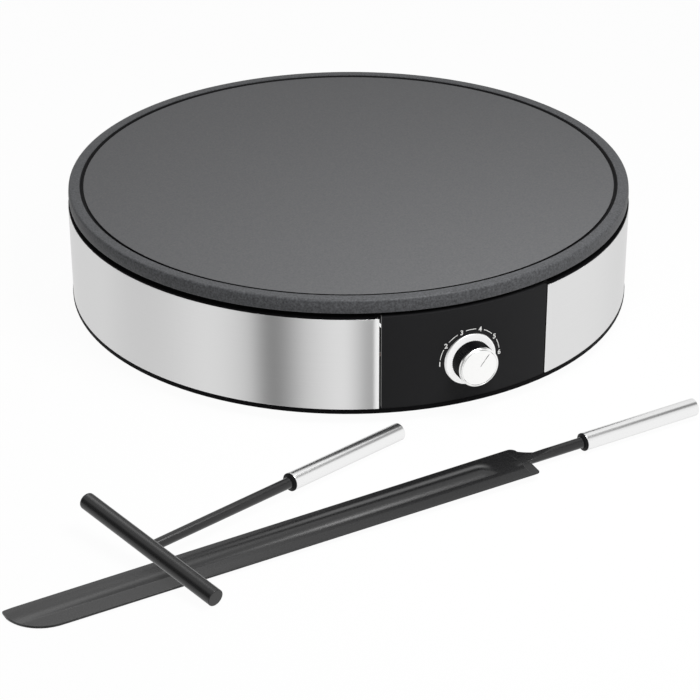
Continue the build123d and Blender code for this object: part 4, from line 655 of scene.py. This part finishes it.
def make_baking_plate():
    bm = bmesh.new()
    middle = (PLATE_TOP + PLATE_BOTTOM) / 2.0
    edge = PLATE_RADIUS - WALL_BULGE
    pad_in, pad_out = ELEMENT_PAD
    outline = held(rounded([
        (0.0, DISC_BOTTOM),
        (pad_in, DISC_BOTTOM, 0.3),
        (pad_in, PLATE_BOTTOM, 0.3),
        (pad_out, PLATE_BOTTOM, 0.3),
        (pad_out, DISC_BOTTOM, 0.3),
        (WALL_INNER, DISC_BOTTOM, 0.5),
        (WALL_INNER, PLATE_BOTTOM, 0.5),
        (edge, PLATE_BOTTOM, 0.7),
        (PLATE_RADIUS, middle - 0.6, 5.0),
        (PLATE_RADIUS - 0.05, middle + 0.6, 5.0),
        (edge - 0.1, PLATE_TOP, 1.5),
        (RIM_INNER, PLATE_TOP, 0.9),
        (RIM_INNER - 1.6, GROOVE_FLOOR, 0.3),
        (DISC_EDGE, GROOVE_FLOOR, 0.2),
        (DISC_EDGE, DISC_TOP, 0.35),
        (0.0, DISC_TOP),
    ], steps=6))

    def finish(radius, height):
        # Slot 2, the groove's floor, takes the near-black coating of painted shade
        if DISC_EDGE - 0.1 < radius < RIM_INNER - 0.7 and height > DISC_BOTTOM + 1.0:
            return 2
        return 0 if radius < DISC_EDGE and height > DISC_BOTTOM + 1.0 else 1

    lathe(bm, outline, 360, BODY, finish)
    boss_radius, boss_circle, boss_count, boss_start = PLATE_BOSSES
    for number in range(boss_count):
        turn = math.radians(boss_start + 360.0 * number / boss_count)
        across = (boss_circle * math.cos(turn), boss_circle * math.sin(turn), 0.0)
        place = BODY @ Matrix.Translation(across)
        lathe(bm, rounded([(0.0, PLATE_SEAT), (boss_radius, PLATE_SEAT, 0.5),
                           (boss_radius, DISC_BOTTOM + 0.3), (0.0, DISC_BOTTOM + 0.3)]), 32, place, 1)
    close_mesh(bm)
    made = piece("baking_plate_cast", bm, [disc_coating, rim_coating, groove_painted_shade], "root",
                 ["baking_plate"])
    # The plate alone shows in what is under it, so that the gap there stays black
    made.visible_glossy = True


make_baking_plate()


# ---- knob

def make_knob():
    turned_piece("dial_collar", rounded([
        (COLLAR_HOLE, COLLAR_SEAT),
        (COLLAR_RADIUS, COLLAR_SEAT),
        (COLLAR_RADIUS, COLLAR_FRONT, 0.35),
        (COLLAR_RADIUS - 0.9, COLLAR_FRONT, 0.3),
        (COLLAR_HOLE + 1.5, COLLAR_DISH, 4.0),
        (COLLAR_HOLE, COLLAR_DISH),
    ]), 128, KNOB, collar_metal, "root", "knob_collar")

    bm = bmesh.new()
    lathe(bm, rounded([
        (0.0, KNOB_BACK), (KNOB_RADIUS - 0.3, KNOB_BACK, 0.3),
        (KNOB_RADIUS - 0.3, KNOB_RING_BACK), (0.0, KNOB_RING_BACK)]), 120, KNOB)
    close_mesh(bm)
    core = mesh_of(bm, "grip_core")

    def rib(unit):
        low, high = KNOB_BACK + 0.3, KNOB_RING_BACK - 0.1
        lathe(unit, [(0.0, low), (KNOB_RIB_RADIUS, low), (KNOB_RIB_RADIUS, high), (0.0, high)], 8, BODY)

    bm = repeated("grip_ribs", KNOB_RIBS, KNOB_RADIUS - KNOB_RIB_RADIUS, 0.0, knob_plastic,
                  KNOB_TURN, rib)
    bm.from_mesh(core)
    bpy.data.meshes.remove(core)
    piece("ribbed_grip", bm, [knob_plastic], "knob", ["knob_grip"])

    turned_piece("chamfered_ring", rounded([
        (KNOB_RADIUS - KNOB_RING_WALL, KNOB_RING_BACK),
        (KNOB_RADIUS, KNOB_RING_BACK, 0.1),
        (KNOB_RADIUS, KNOB_FRONT - KNOB_CHAMFER, 0.1),
        (KNOB_RADIUS - KNOB_CHAMFER, KNOB_FRONT, 0.1),
        (KNOB_RADIUS - KNOB_RING_WALL, KNOB_FRONT, 0.1),
    ]), 128, KNOB, knob_metal, "knob", "knob_ring")
    turned_piece("turned_cap", rounded([
        (0.0, KNOB_RING_BACK), (CAP_RADIUS, KNOB_RING_BACK), (CAP_RADIUS, KNOB_FRONT, 0.2),
        (0.0, KNOB_FRONT)]), 128, KNOB, knob_metal, "knob", "knob_cap")


make_knob()


# ---- tools

def rib_size(u):
    """Half width and height of the rib at a place along the blade."""
    share = min(1.0, max(0.0, (u - RIB_START) / (RIB_FULL - RIB_START)))
    width = RIB_START_SIZE[0] + (RIB_FULL_SIZE[0] - RIB_START_SIZE[0]) * share
    height = RIB_START_SIZE[1] + (RIB_FULL_SIZE[1] - RIB_START_SIZE[1]) * share
    height *= RIB_TIP_SHARE + (1.0 - RIB_TIP_SHARE) * smooth(0.0, RIB_START, u)
    return width / 2.0, height * (1.0 - smooth(RIB_END - 4.0, RIB_END + 7.0, u))


def rib_height(u, v):
    """Height of the rib above the flange: soft on its far side, a crease on its near side."""
    half, height = rib_size(u)
    crease = RIB_OFFSET - half
    if v >= RIB_CREST:
        return height * (1.0 - smooth(RIB_CREST, RIB_OFFSET + half + 0.6, v))
    if v <= crease:
        return 0.0
    return height * (1.0 - ((RIB_CREST - v) / (RIB_CREST - crease)) ** 2)


blade_tip_circle = circle_through(
    (0.0, BLADE_TIP_HALF), BLADE_CORNER, (BLADE_CORNER_RUN, -BLADE_TIP_HALF))


def blade_edges(u):
    """Near and far limit of the blade across, at a place along it."""
    grown = (BLADE_END_HALF - BLADE_TIP_HALF) * u / BLADE_LENGTH
    high = BLADE_TIP_HALF + grown
    low = -high
    if u < TIP_ROUNDING:
        high -= TIP_ROUNDING - math.sqrt(TIP_ROUNDING ** 2 - (TIP_ROUNDING - u) ** 2)
    if u < BLADE_CORNER_RUN:
        # Circle through the tip, the rounded corner and the start of the straight edge
        centre, radius = blade_tip_circle
        low = max(low, centre[1] - math.sqrt(max(0.0, radius ** 2 - (u - centre[0]) ** 2)))
    far_start = BLADE_LENGTH - FAR_SHOULDER
    near_start = BLADE_LENGTH - NEAR_SHOULDER
    if u > far_start:
        past = min(FAR_SHOULDER, u - far_start)
        high = BLADE_END_HALF - FAR_SHOULDER + math.sqrt(max(0.0, FAR_SHOULDER ** 2 - past ** 2))
    if u > near_start:
        past = min(NEAR_SHOULDER, u - near_start)
        low = -(BLADE_END_HALF - NEAR_SHOULDER + math.sqrt(max(0.0, NEAR_SHOULDER ** 2 - past ** 2)))
    if u > BLADE_LENGTH:
        # Web that runs out along the far side of the rod
        left = (WEB_END - u) / (WEB_END - BLADE_LENGTH)
        high = min(high, ROD_RADIUS + WEB_WIDTH * max(0.0, left) ** WEB_CURVE)
        left = max(0.0, BLADE_LENGTH + NEAR_HOLLOW - u)
        low = -(ROD_RADIUS + NEAR_HOLLOW - math.sqrt(NEAR_HOLLOW ** 2 - left ** 2))
    return low, high


def ramp_height(u):
    """Height of the slope that grows out of the blade into the top of the rod."""
    share = min(1.0, max(0.0, (u - RAMP_START) / (WEB_END - RAMP_START)))
    return BLADE_THICKNESS + (AXIS_HEIGHT + ROD_RADIUS - BLADE_THICKNESS) * share


def drop_depth(u):
    """Depth of the rod's underside below the blade, from where it grows out of it."""
    return (ROD_RADIUS - AXIS_HEIGHT) * smooth(NECK_START, NECK_FULL, u)


def blade_top(u, v):
    top = BLADE_THICKNESS + rib_height(u, v)
    top -= smooth(EDGE_START, EDGE_FULL, u) * max(0.0, EDGE_LINE - v) * EDGE_SLOPE
    top -= (1.0 - smooth(0.0, TIP_RUN, u)) * TIP_THINNING
    if abs(v) < ROD_RADIUS and u > NECK_START:
        tube = AXIS_HEIGHT + math.sqrt(ROD_RADIUS ** 2 - v * v)
        top = max(top, min(tube, ramp_height(u)))
    return top


def blade_bottom(u, v):
    if abs(v) < ROD_RADIUS and u > NECK_START:
        tube = math.sqrt(ROD_RADIUS ** 2 - v * v) - AXIS_HEIGHT
        return -max(0.0, min(tube, drop_depth(u)))
    return 0.0


def blade_section(u):
    """Closed section of the blade: over the top from the far edge to the near one, and back below."""
    low, high = blade_edges(u)
    half, _ = rib_size(u)
    crease = RIB_OFFSET - half
    marks = [12.0, 11.2, 10.5, 9.8, 9.0, 8.2, 7.4, 6.6, 5.8, 5.0, 4.2, 3.4, RIB_CREST]
    marks += [RIB_CREST + (crease - RIB_CREST) * k / 6.0 for k in range(1, 6)]
    marks += [crease + 0.06, crease - 0.06, crease - 0.7, -6.0, -7.2, -7.5, -9.0, -10.5, -11.8]
    if u > BLADE_LENGTH - 5.0:
        # Close lines for the start of the rod
        last = len(marks) - 1
        marks = [ROD_RADIUS * math.cos(math.pi * k / last) * 0.999 for k in range(last + 1)]
    soft = min(BLADE_EDGE, (high - low) / 6.0)
    inner_high, inner_low = high - soft, low + soft
    marks = [min(inner_high - 0.001 * i, max(inner_low + 0.001 * (len(marks) - i), m))
             for i, m in enumerate(marks)]
    far_top = blade_top(u, inner_high)
    near_top = blade_top(u, inner_low)
    over = [(u, high, 0.3), (u, high, far_top * 0.7), (u, high - soft * 0.3, far_top - 0.1)]
    over += [(u, inner_high, far_top)]
    over += [(u, mark, blade_top(u, mark)) for mark in marks]
    over += [(u, inner_low, near_top)]
    over += [(u, low + soft * 0.3, near_top - 0.1), (u, low, near_top * 0.7), (u, low, 0.3)]
    below = [inner_low]
    below += [ROD_RADIUS * 0.999 * math.cos(math.pi * (1.0 - k / 12.0)) for k in range(13)]
    below += [inner_high]
    below = [min(inner_high, max(inner_low, v)) + 0.0005 * k for k, v in enumerate(below)]
    under = [(u, v, blade_bottom(u, v)) for v in below]
    return over + under


def make_turner():
    bm = bmesh.new()
    # Sections lie close together where the outline or the height turns: at the tip, at the end
    # of the rib, at the shoulders and along the web
    places = [0.15, 0.5, 1.0, 2.0, 3.0, 4.5, 6.0, 8.0, 10.0, 12.5, 15.0, 18.0, 21.0, 24.0,
              BLADE_CORNER_RUN, 27.0, 30.0]
    places += [36.0 + 6.0 * k for k in range(40)]
    places += [RIB_END - 10.0 + 1.0 * k for k in range(26)]
    places += [NECK_START + 1.0 + 0.75 * k for k in range(14)]
    places += [BLADE_LENGTH + past for past in (0.001, 0.05, 0.15, 0.3, 0.6, 1.0, 1.5, 2.0, 3.0, 4.0)]
    places += [BLADE_LENGTH + 5.0 + 1.0 * k for k in range(13)]
    skin(bm, [blade_section(u) for u in places], TURNER)
    close_mesh(bm)
    piece("turner_blade_moulded", bm, [tool_plastic], "turner", ["turner_blade"],
          crease=22.0)

    bm = bmesh.new()
    rod = [(0.0, TURNER_ROD)]
    rod += [(ROD_RADIUS, TURNER_ROD + k * 0.75) for k in range(25)]
    rod += [(ROD_RADIUS, TURNER_GRIP + TUBE_PLUG), (0.0, TURNER_GRIP + TUBE_PLUG)]
    lathe(bm, rod, 48, TURNER_SHAFT)
    back = TURNER.inverted()
    for vert in bm.verts:
        spot = back @ vert.co
        spot.z = min(spot.z, ramp_height(spot.x))
        vert.co = TURNER @ spot
    close_mesh(bm)
    piece("turner_neck", bm, [tool_plastic], "turner", ["turner_rod"])
    make_grip("turner", TURNER_SHAFT, TURNER_GRIP, TURNER_END)


def make_grip(tool, place, tube, end):
    """Steel tube of a tool's handle and the nylon collar that plugs it."""
    nose = tube - FERRULE_LENGTH
    inner, outer, plug = ROD_RADIUS + PLUG_GAP, FERRULE_RADIUS - 0.1, HANDLE_BORE - PLUG_GAP
    turned_piece(tool + "_collar", held(rounded([
        (inner, nose), (ROD_RADIUS + 0.2, nose, 0.05), (FERRULE_NOSE, nose + 0.75, 0.6),
        (outer, nose + 0.95, 0.3), (outer, tube, 0.15), (plug, tube), (plug, tube + TUBE_PLUG),
        (inner, tube + TUBE_PLUG)])), 64, place, ferrule_painted_shade, tool,
        tool + "_ferrule")
    turned_piece(tool + "_grip", held(rounded([
        (HANDLE_BORE, tube), (HANDLE_RADIUS, tube, 0.25), (HANDLE_RADIUS, end, 0.7), (0.0, end),
        (0.0, end - HANDLE_CAP), (HANDLE_BORE, end - HANDLE_CAP)])), 96, place, handle_steel, tool,
        tool + "_handle", lengthwise=True)


def make_spreader():
    turned_piece("spreader_crossbar", held(rounded([
        (0.0, -BAR_HALF), (BAR_RADIUS, -BAR_HALF, 0.35), (BAR_RADIUS, BAR_HALF, 1.6),
        (0.0, BAR_HALF)])), 96, SPREADER_BAR, tool_plastic, "spreader", "spreader_bar")
    turned_piece("spreader_neck", rounded([
        (0.0, 0.0), (SPREADER_ROD_RADIUS, 0.0), (SPREADER_ROD_RADIUS, BAR_RADIUS),
        (ROD_RADIUS, SPREADER_TUBE - 3.6), (ROD_RADIUS, SPREADER_GRIP + TUBE_PLUG),
        (0.0, SPREADER_GRIP + TUBE_PLUG)]), 64, SPREADER_SHAFT, tool_plastic, "spreader",
        "spreader_rod")
    make_grip("spreader", SPREADER_SHAFT, SPREADER_GRIP, SPREADER_END)


make_turner()
make_spreader()


# ---- steel band

def band_plan():
    """Line of the band's outer face seen from above, from one folded end round to the other."""
    start = math.radians(-90.0 + BAND_END_ANGLE)
    sweep = math.radians(360.0 - 2.0 * BAND_END_ANGLE)
    count = 430
    ring = []
    for step in range(count + 1):
        turn = start + sweep * step / count
        ring.append((BAND_RADIUS * math.cos(turn), BAND_RADIUS * math.sin(turn)))
    shorter = (BAND_RADIUS - BAND_FOLD_DEPTH) / BAND_RADIUS
    first = (ring[0][0] * shorter, ring[0][1] * shorter)
    last = (ring[-1][0] * shorter, ring[-1][1] * shorter)
    corners = [first, (*ring[0], BAND_FOLD_RADIUS), *ring[2:-2], (*ring[-1], BAND_FOLD_RADIUS), last]
    return rounded(corners, steps=3, closed=False)


def make_band():
    plan = band_plan()
    lengths = [0.0]
    for first, second in zip(plan, plan[1:]):
        lengths.append(lengths[-1] + (Vector(second) - Vector(first)).length)
    bm = bmesh.new()
    uv = bm.loops.layers.uv.verify()
    middle = lengths[-1] / 2.0
    levels = [BAND_BOTTOM, BAND_BOTTOM + BAND_HEM]
    levels += [GLAND_HEIGHT - BAND_PATCH + BAND_PATCH * k / 4.0 for k in range(9)]
    levels += [BAND_TOP - BAND_HEM, BAND_TOP]
    columns = [s for s in lengths if abs(s - middle) > BAND_PATCH + 0.5]
    columns += [middle - BAND_PATCH + BAND_PATCH * k / 4.0 for k in range(9)]
    columns.sort()

    def bent(s, z):
        """Point on the band's outer face from its flat pattern."""
        index = 0
        while index < len(lengths) - 2 and lengths[index + 1] < s:
            index += 1
        share = (s - lengths[index]) / (lengths[index + 1] - lengths[index])
        spot = Vector(plan[index]).lerp(Vector(plan[index + 1]), share)
        return BODY @ Vector((spot.x, spot.y, z))

    def quad(corners):
        face = bm.faces.new([spots[c] for c in corners])
        # Faces off the round are those of the folded ends, which take the near-black painted shade
        if Vector(face.calc_center_median()[:2]).length < (BAND_RADIUS - 0.5) * MM:
            face.material_index = 1
        for loop, corner in zip(face.loops, corners):
            loop[uv].uv = (corner[0] * MM, corner[1] * MM)

    spots = {}
    for s in columns:
        for z in levels:
            spots[(s, z)] = bm.verts.new(bent(s, z))
    for s_low, s_high in zip(columns, columns[1:]):
        for z_low, z_high in zip(levels, levels[1:]):
            in_hole = abs((s_low + s_high) / 2.0 - middle) < BAND_PATCH
            in_hole = in_hole and abs((z_low + z_high) / 2.0 - GLAND_HEIGHT) < BAND_PATCH
            if not in_hole:
                quad([(s_low, z_low), (s_high, z_low), (s_high, z_high), (s_low, z_high)])
    # Ring of faces from the square patch to the round hole
    across = [s for s in columns if abs(s - middle) < BAND_PATCH + 0.1]
    up = [z for z in levels if abs(z - GLAND_HEIGHT) < BAND_PATCH + 0.1]
    square = [(s, up[0]) for s in across] + [(across[-1], z) for z in up[1:]]
    square += [(s, up[-1]) for s in across[-2::-1]] + [(across[0], z) for z in up[-2:0:-1]]
    hole = []
    for s, z in square:
        out = Vector((s - middle, z - GLAND_HEIGHT)).normalized() * GLAND_HOLE
        spot = (middle + out.x, GLAND_HEIGHT + out.y)
        spots[spot] = bm.verts.new(bent(*spot))
        hole.append(spot)
    for index, corner in enumerate(square):
        nxt = (index + 1) % len(square)
        quad([corner, square[nxt], hole[nxt], hole[index]])
    bmesh.ops.recalc_face_normals(bm, faces=bm.faces)
    bm.faces.ensure_lookup_table()
    behind = bm.faces[len(bm.faces) // 2]
    if behind.normal.dot(behind.calc_center_median()) < 0.0:
        bmesh.ops.reverse_faces(bm, faces=bm.faces)
    made = piece("brushed_band", bm, [band_steel, fold_painted_shade], "root", ["steel_band"])
    wall = made.modifiers.new("sheet", "SOLIDIFY")
    wall.thickness = BAND_SHEET * MM
    wall.offset = -1.0
    soft = made.modifiers.new("edges", "BEVEL")
    soft.width = 0.08 * MM
    soft.segments = 2
    soft.limit_method = "ANGLE"
    soft.angle_limit = math.radians(60.0)


make_band()


# ---- dial, feet, inlet, other nodes

def dress(material, *nodes):
    """Gives CAD nodes a finish through their material slots."""
    for node in nodes:
        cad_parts[node].visible_glossy = False
        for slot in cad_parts[node].material_slots:
            slot.material = material


def on_panel(x, z, lift):
    """Point on the face of the panel from its place across and its height, in metres."""
    radius = PANEL_RADIUS + lift
    return BODY @ Vector((x, -math.sqrt(radius ** 2 - x ** 2), z))


def make_dial():
    """Numerals 1 to 6 and the arcs between them, printed on the curved panel."""
    bm = bmesh.new()
    for number in range(DIAL_COUNT):
        turn = math.radians(DIAL_START + DIAL_STEP * number)
        curve = bpy.data.curves.new("numeral", "FONT")
        curve.body = str(number + 1)
        curve.align_x = "CENTER"
        curve.size = 1.0
        curve.offset = 0.022
        curve.extrude = 0.5
        curve.resolution_u = 6
        holder = placed("numeral", curve)
        evaluated = holder.evaluated_get(bpy.context.evaluated_depsgraph_get())
        flat = bpy.data.meshes.new_from_object(evaluated)
        bpy.data.objects.remove(holder)
        xs = [vert.co.x for vert in flat.vertices]
        ys = [vert.co.y for vert in flat.vertices]
        scale = NUMERAL_HEIGHT / (max(ys) - min(ys))
        middle_x = (max(xs) + min(xs)) / 2.0
        middle_y = (max(ys) + min(ys)) / 2.0
        for vert in flat.vertices:
            x = DIAL_RADIUS * math.sin(turn) + (vert.co.x - middle_x) * scale
            z = KNOB_HEIGHT + DIAL_RADIUS * math.cos(turn) + (vert.co.y - middle_y) * scale
            vert.co = on_panel(x, z, PRINT_LAYERS[1] if vert.co.z > 0.0 else PRINT_LAYERS[0])
        bm.from_mesh(flat)
        bpy.data.meshes.remove(flat)
    for number in range(DIAL_COUNT - 1):
        start = DIAL_START + DIAL_STEP * number + ARC_MARGIN
        sweep = DIAL_STEP - 2.0 * ARC_MARGIN
        sections = []
        for step in range(13):
            turn = math.radians(start + sweep * step / 12.0)
            section = []
            for side, lift in ((-0.5, 0), (0.5, 0), (0.5, 1), (-0.5, 1)):
                reach = DIAL_RADIUS + side * ARC_WIDTH
                section.append(on_panel(reach * math.sin(turn), KNOB_HEIGHT + reach * math.cos(turn),
                                        PRINT_LAYERS[lift]))
            sections.append(section)
        skin(bm, sections, Matrix.Identity(4))
    close_mesh(bm)
    piece("printed_dial", bm, [dial_print], "root", ["dial_markings"])


def make_feet():
    def foot(bm):
        lathe(bm, held(rounded([
            (0.0, 0.0), (FOOT_RADIUS - 0.6, 0.0, 1.0), (FOOT_RADIUS, FOOT_HEIGHT, 0.3),
            (STEM_RADIUS, FOOT_HEIGHT), (STEM_RADIUS, FLOOR_TOP), (STEM_HEAD_RADIUS, FLOOR_TOP, 0.2),
            (STEM_HEAD_RADIUS - 0.6, FLOOR_TOP + STEM_HEAD_HEIGHT, 0.3),
            (0.0, FLOOR_TOP + STEM_HEAD_HEIGHT)])), 48, BODY)

    bm = repeated("feet", 4, FOOT_CIRCLE, 45.0, foot_rubber, Matrix.Identity(4), foot)
    piece("push_in_feet", bm, [foot_rubber], "root", ["rubber_feet"])


def make_gland():
    low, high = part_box("cord_gland")
    inner, outer = low[1] / MM, high[1] / MM
    face = BAND_RADIUS + 0.2
    place = frame_at((0.0, 0.0, GLAND_HEIGHT), (-1, 0, 0), (0, 1, 0))
    turned_piece("inlet_bush", held(rounded([
        (GLAND_BORE, inner), (GLAND_SLEEVE, inner, 0.3), (GLAND_SLEEVE, face),
        (GLAND_FLANGE, face, 0.2), (GLAND_FLANGE - 0.2, BAND_RADIUS + 1.0, 0.5),
        (GLAND_LIP, outer, 0.7), (GLAND_BORE, outer, 0.6)])), 64, place, gland_nylon, "root",
        "cord_gland")


make_dial()
make_feet()
make_gland()

dress(case_plastic, "base_shell", "top_ring")
dress(panel_plastic, "control_panel")
dress(pointer_paint, "knob_pointer")
dress(element_sheath, "heating_element")
dress(nickel_plate, "element_tabs", "thermostat_tabs", "earth_tag")
dress(zinc_plate, "element_clamps", "strap_screws", "bulb_clip", "fuse_clip", "plate_spacers",
      "plate_screws", "case_screws", "bracket_screws", "thermostat_bracket", "terminal_screws")
dress(shield_sheet, "heat_shield")
dress(drawn_copper, "sensing_bulb", "capillary_tube")
dress(fuse_can, "thermal_fuse")
dress(phenolic, "thermostat_body")
dress(machined_brass, "thermostat_bush", "bush_nut", "adjusting_nut", "diaphragm_capsule")
dress(turned_steel, "thermostat_shaft")
dress(block_polyamide, "terminal_block")
dress(brown_sleeve, "live_lead", "switched_lead", "fuse_lead")
dress(blue_sleeve, "neutral_lead")
dress(green_sleeve, "earth_lead")


# ---- studio

# Level of the even light on matt faces
WORLD_LEVEL = 0.26
# Level of what metal mirrors near the table, by bearing from the front, in degrees
CARDS = [
    (-180, 0.78), (-150, 0.84), (-118, 0.9), (-93, 0.95), (-84, 0.94), (-76, 0.88), (-69, 0.78),
    (-62, 0.62), (-59, 0.25), (-55, 0.1), (-51, 0.22), (-46, 0.5), (-41, 0.75), (-33, 0.9),
    (-25, 0.97), (-20, 0.7), (-16, 0.3), (-9, 0.25), (-4, 0.9), (20, 1.0), (70, 1.0), (94, 0.97),
    (111, 0.89), (127, 0.83), (180, 0.78)]
# Level of what metal mirrors above the table, by height in degrees
SKY = [(0, 0.9), (30, 0.9), (60, 0.88), (90, 0.9)]
# Dark flags that draw the lines on tubes and bars: bearing, height, inner and outer reach, level
FLAGS = [(76, 50, 4, 22, 0.0), (-108, 18, 14, 30, 0.15)]
# Share of the floor that shows as plain white; the rest takes the light and the shadow
FLOOR_WHITE = 0.965
CAMERA_PLACE = (-0.53775, -1.23827, 0.67878)
CAMERA_AHEAD = (0.35136, 0.80796, -0.47301)
CAMERA_ROLL = -0.1411
CAMERA_LENS = 120.844


def make_world():
    """Even light for what is matt; for reflections, pale below and above with soft dark cards."""
    world = bpy.data.worlds.new("studio")
    bpy.context.scene.world = world
    world.use_nodes = True
    world.cycles.sampling_method = "NONE"
    tree = world.node_tree
    tree.nodes.clear()
    look = add(tree, "TexCoord").outputs["Generated"]
    parts = add(tree, "SeparateXYZ", {"Vector": look})
    front = add(tree, "Math", {0: parts.outputs["Y"], 1: -1.0}, operation="MULTIPLY")
    bearing = add(tree, "Math", {0: parts.outputs["X"], 1: front.outputs[0]},
                  operation="ARCTAN2")
    share = add(tree, "MapRange", {
        "Value": bearing.outputs[0], "From Min": -math.pi, "From Max": math.pi})
    cards = add(tree, "ValToRGB", {"Fac": share.outputs["Result"]})
    fill_ramp(cards.color_ramp, [((bearing_ + 180.0) / 360.0, value) for bearing_, value in CARDS])
    rise = add(tree, "Math", {0: parts.outputs["Z"]}, operation="ARCSINE")
    height = add(tree, "MapRange", {
        "Value": rise.outputs[0], "From Min": 0.0, "From Max": math.pi / 2.0})
    sky = add(tree, "ValToRGB", {"Fac": height.outputs["Result"]})
    fill_ramp(sky.color_ramp, [(angle / 90.0, value) for angle, value in SKY])
    above = add(tree, "MapRange", {
        "Value": rise.outputs[0], "From Min": 0.3, "From Max": 0.6})
    mirrored = add(tree, "Mix", {
        "Factor": above.outputs["Result"], "A": cards.outputs["Color"], "B": sky.outputs["Color"]},
        data_type="RGBA")
    for bearing_, height_, inner, outer, level in FLAGS:
        turn, lift = math.radians(bearing_), math.radians(height_)
        aim = (math.cos(lift) * math.sin(turn), -math.cos(lift) * math.cos(turn), math.sin(lift))
        near = add(tree, "VectorMath", {0: look, 1: aim}, operation="DOT_PRODUCT")
        flag = add(tree, "MapRange", {
            "Value": near.outputs["Value"], "From Min": math.cos(math.radians(outer)),
            "From Max": math.cos(math.radians(inner))}, interpolation_type="SMOOTHSTEP")
        mirrored = add(tree, "Mix", {
            "Factor": flag.outputs["Result"], "A": mirrored.outputs["Result"],
            "B": gray(level)}, data_type="RGBA")
    path = add(tree, "LightPath")
    shiny = add(tree, "Math", {
        0: path.outputs["Is Glossy Ray"], 1: path.outputs["Is Transmission Ray"]}, operation="MAXIMUM")
    even = add(tree, "Mix", {
        "Factor": path.outputs["Is Camera Ray"], "A": gray(WORLD_LEVEL), "B": gray(1.0)},
        data_type="RGBA")
    shown = add(tree, "Mix", {
        "Factor": shiny.outputs[0], "A": even.outputs["Result"], "B": mirrored.outputs["Result"]},
        data_type="RGBA")
    light = add(tree, "Background", {"Color": shown.outputs["Result"], "Strength": 1.0})
    add(tree, "OutputWorld", {"Surface": light.outputs["Background"]})


def fill_ramp(ramp, stops):
    """Sets a ramp's stops from pairs of place and gray level."""
    ramp.interpolation = "LINEAR"
    while len(ramp.elements) > 1:
        ramp.elements.remove(ramp.elements[-1])
    ramp.elements[0].position = stops[0][0]
    ramp.elements[0].color = gray(stops[0][1])
    for place, value in stops[1:]:
        ramp.elements.new(place).color = gray(value)


def softbox(name, place, target, size, level):
    """A rectangular studio light; level is how bright its face is."""
    lamp = bpy.data.lights.new(name, "AREA")
    lamp.shape = "RECTANGLE"
    lamp.size, lamp.size_y = size
    lamp.energy = level * math.pi * size[0] * size[1]
    holder = placed(name, lamp)
    away = (Vector(place) - Vector(target)).normalized()
    holder.matrix_world = Matrix.Translation(place) @ away.to_track_quat("Z", "Y").to_matrix().to_4x4()
    holder.visible_camera = False


def make_floor():
    """Pale floor: it shows as plain white and keeps a faint shadow."""
    bm = bmesh.new()
    bmesh.ops.create_grid(bm, x_segments=1, y_segments=1, size=6.0)
    mesh = mesh_of(bm, "floor")
    floor = placed("floor", mesh)
    floor.location = (0.0, 0.0, -0.0004)
    made, tree = new_material("pale_floor")
    path = add(tree, "LightPath")
    white = add(tree, "BsdfDiffuse", {"Color": linear("#f4f4f4")})
    glow = add(tree, "Emission", {"Color": gray(1.0), "Strength": 1.0})
    share = add(tree, "Math", {0: path.outputs["Is Camera Ray"], 1: FLOOR_WHITE},
                operation="MULTIPLY")
    mixed = add(tree, "MixShader", {
        0: share.outputs[0], 1: white.outputs["BSDF"], 2: glow.outputs["Emission"]})
    add(tree, "OutputMaterial", {"Surface": mixed.outputs["Shader"]})
    mesh.materials.append(made)
    floor.visible_glossy = False


def make_camera():
    """Camera at the height and bearing from which the object is shown."""
    data = bpy.data.cameras.new("camera")
    data.sensor_width = 36.0
    data.lens = CAMERA_LENS
    camera = placed("camera", data)
    ahead = Vector(CAMERA_AHEAD).normalized()
    right = ahead.cross(Z_AXIS).normalized()
    up = right.cross(ahead)
    roll = math.radians(CAMERA_ROLL)
    side = right * math.cos(roll) + up * math.sin(roll)
    top = up * math.cos(roll) - right * math.sin(roll)
    turned = Matrix((side, top, -ahead)).transposed().to_4x4()
    camera.matrix_world = Matrix.Translation(CAMERA_PLACE) @ turned
    bpy.context.scene.camera = camera


make_world()
make_floor()
make_camera()
softbox("front_softbox", place=(0.04, -0.34, 0.52), target=(0.0, -0.1, 0.08), size=(0.26, 0.26),
        level=13.0)
softbox("back_softbox", place=(-0.12, 0.72, 1.1), target=(-0.15, -0.2, 0.0), size=(0.6, 0.4), level=2.0)
bpy.context.scene.view_settings.view_transform = "Standard"
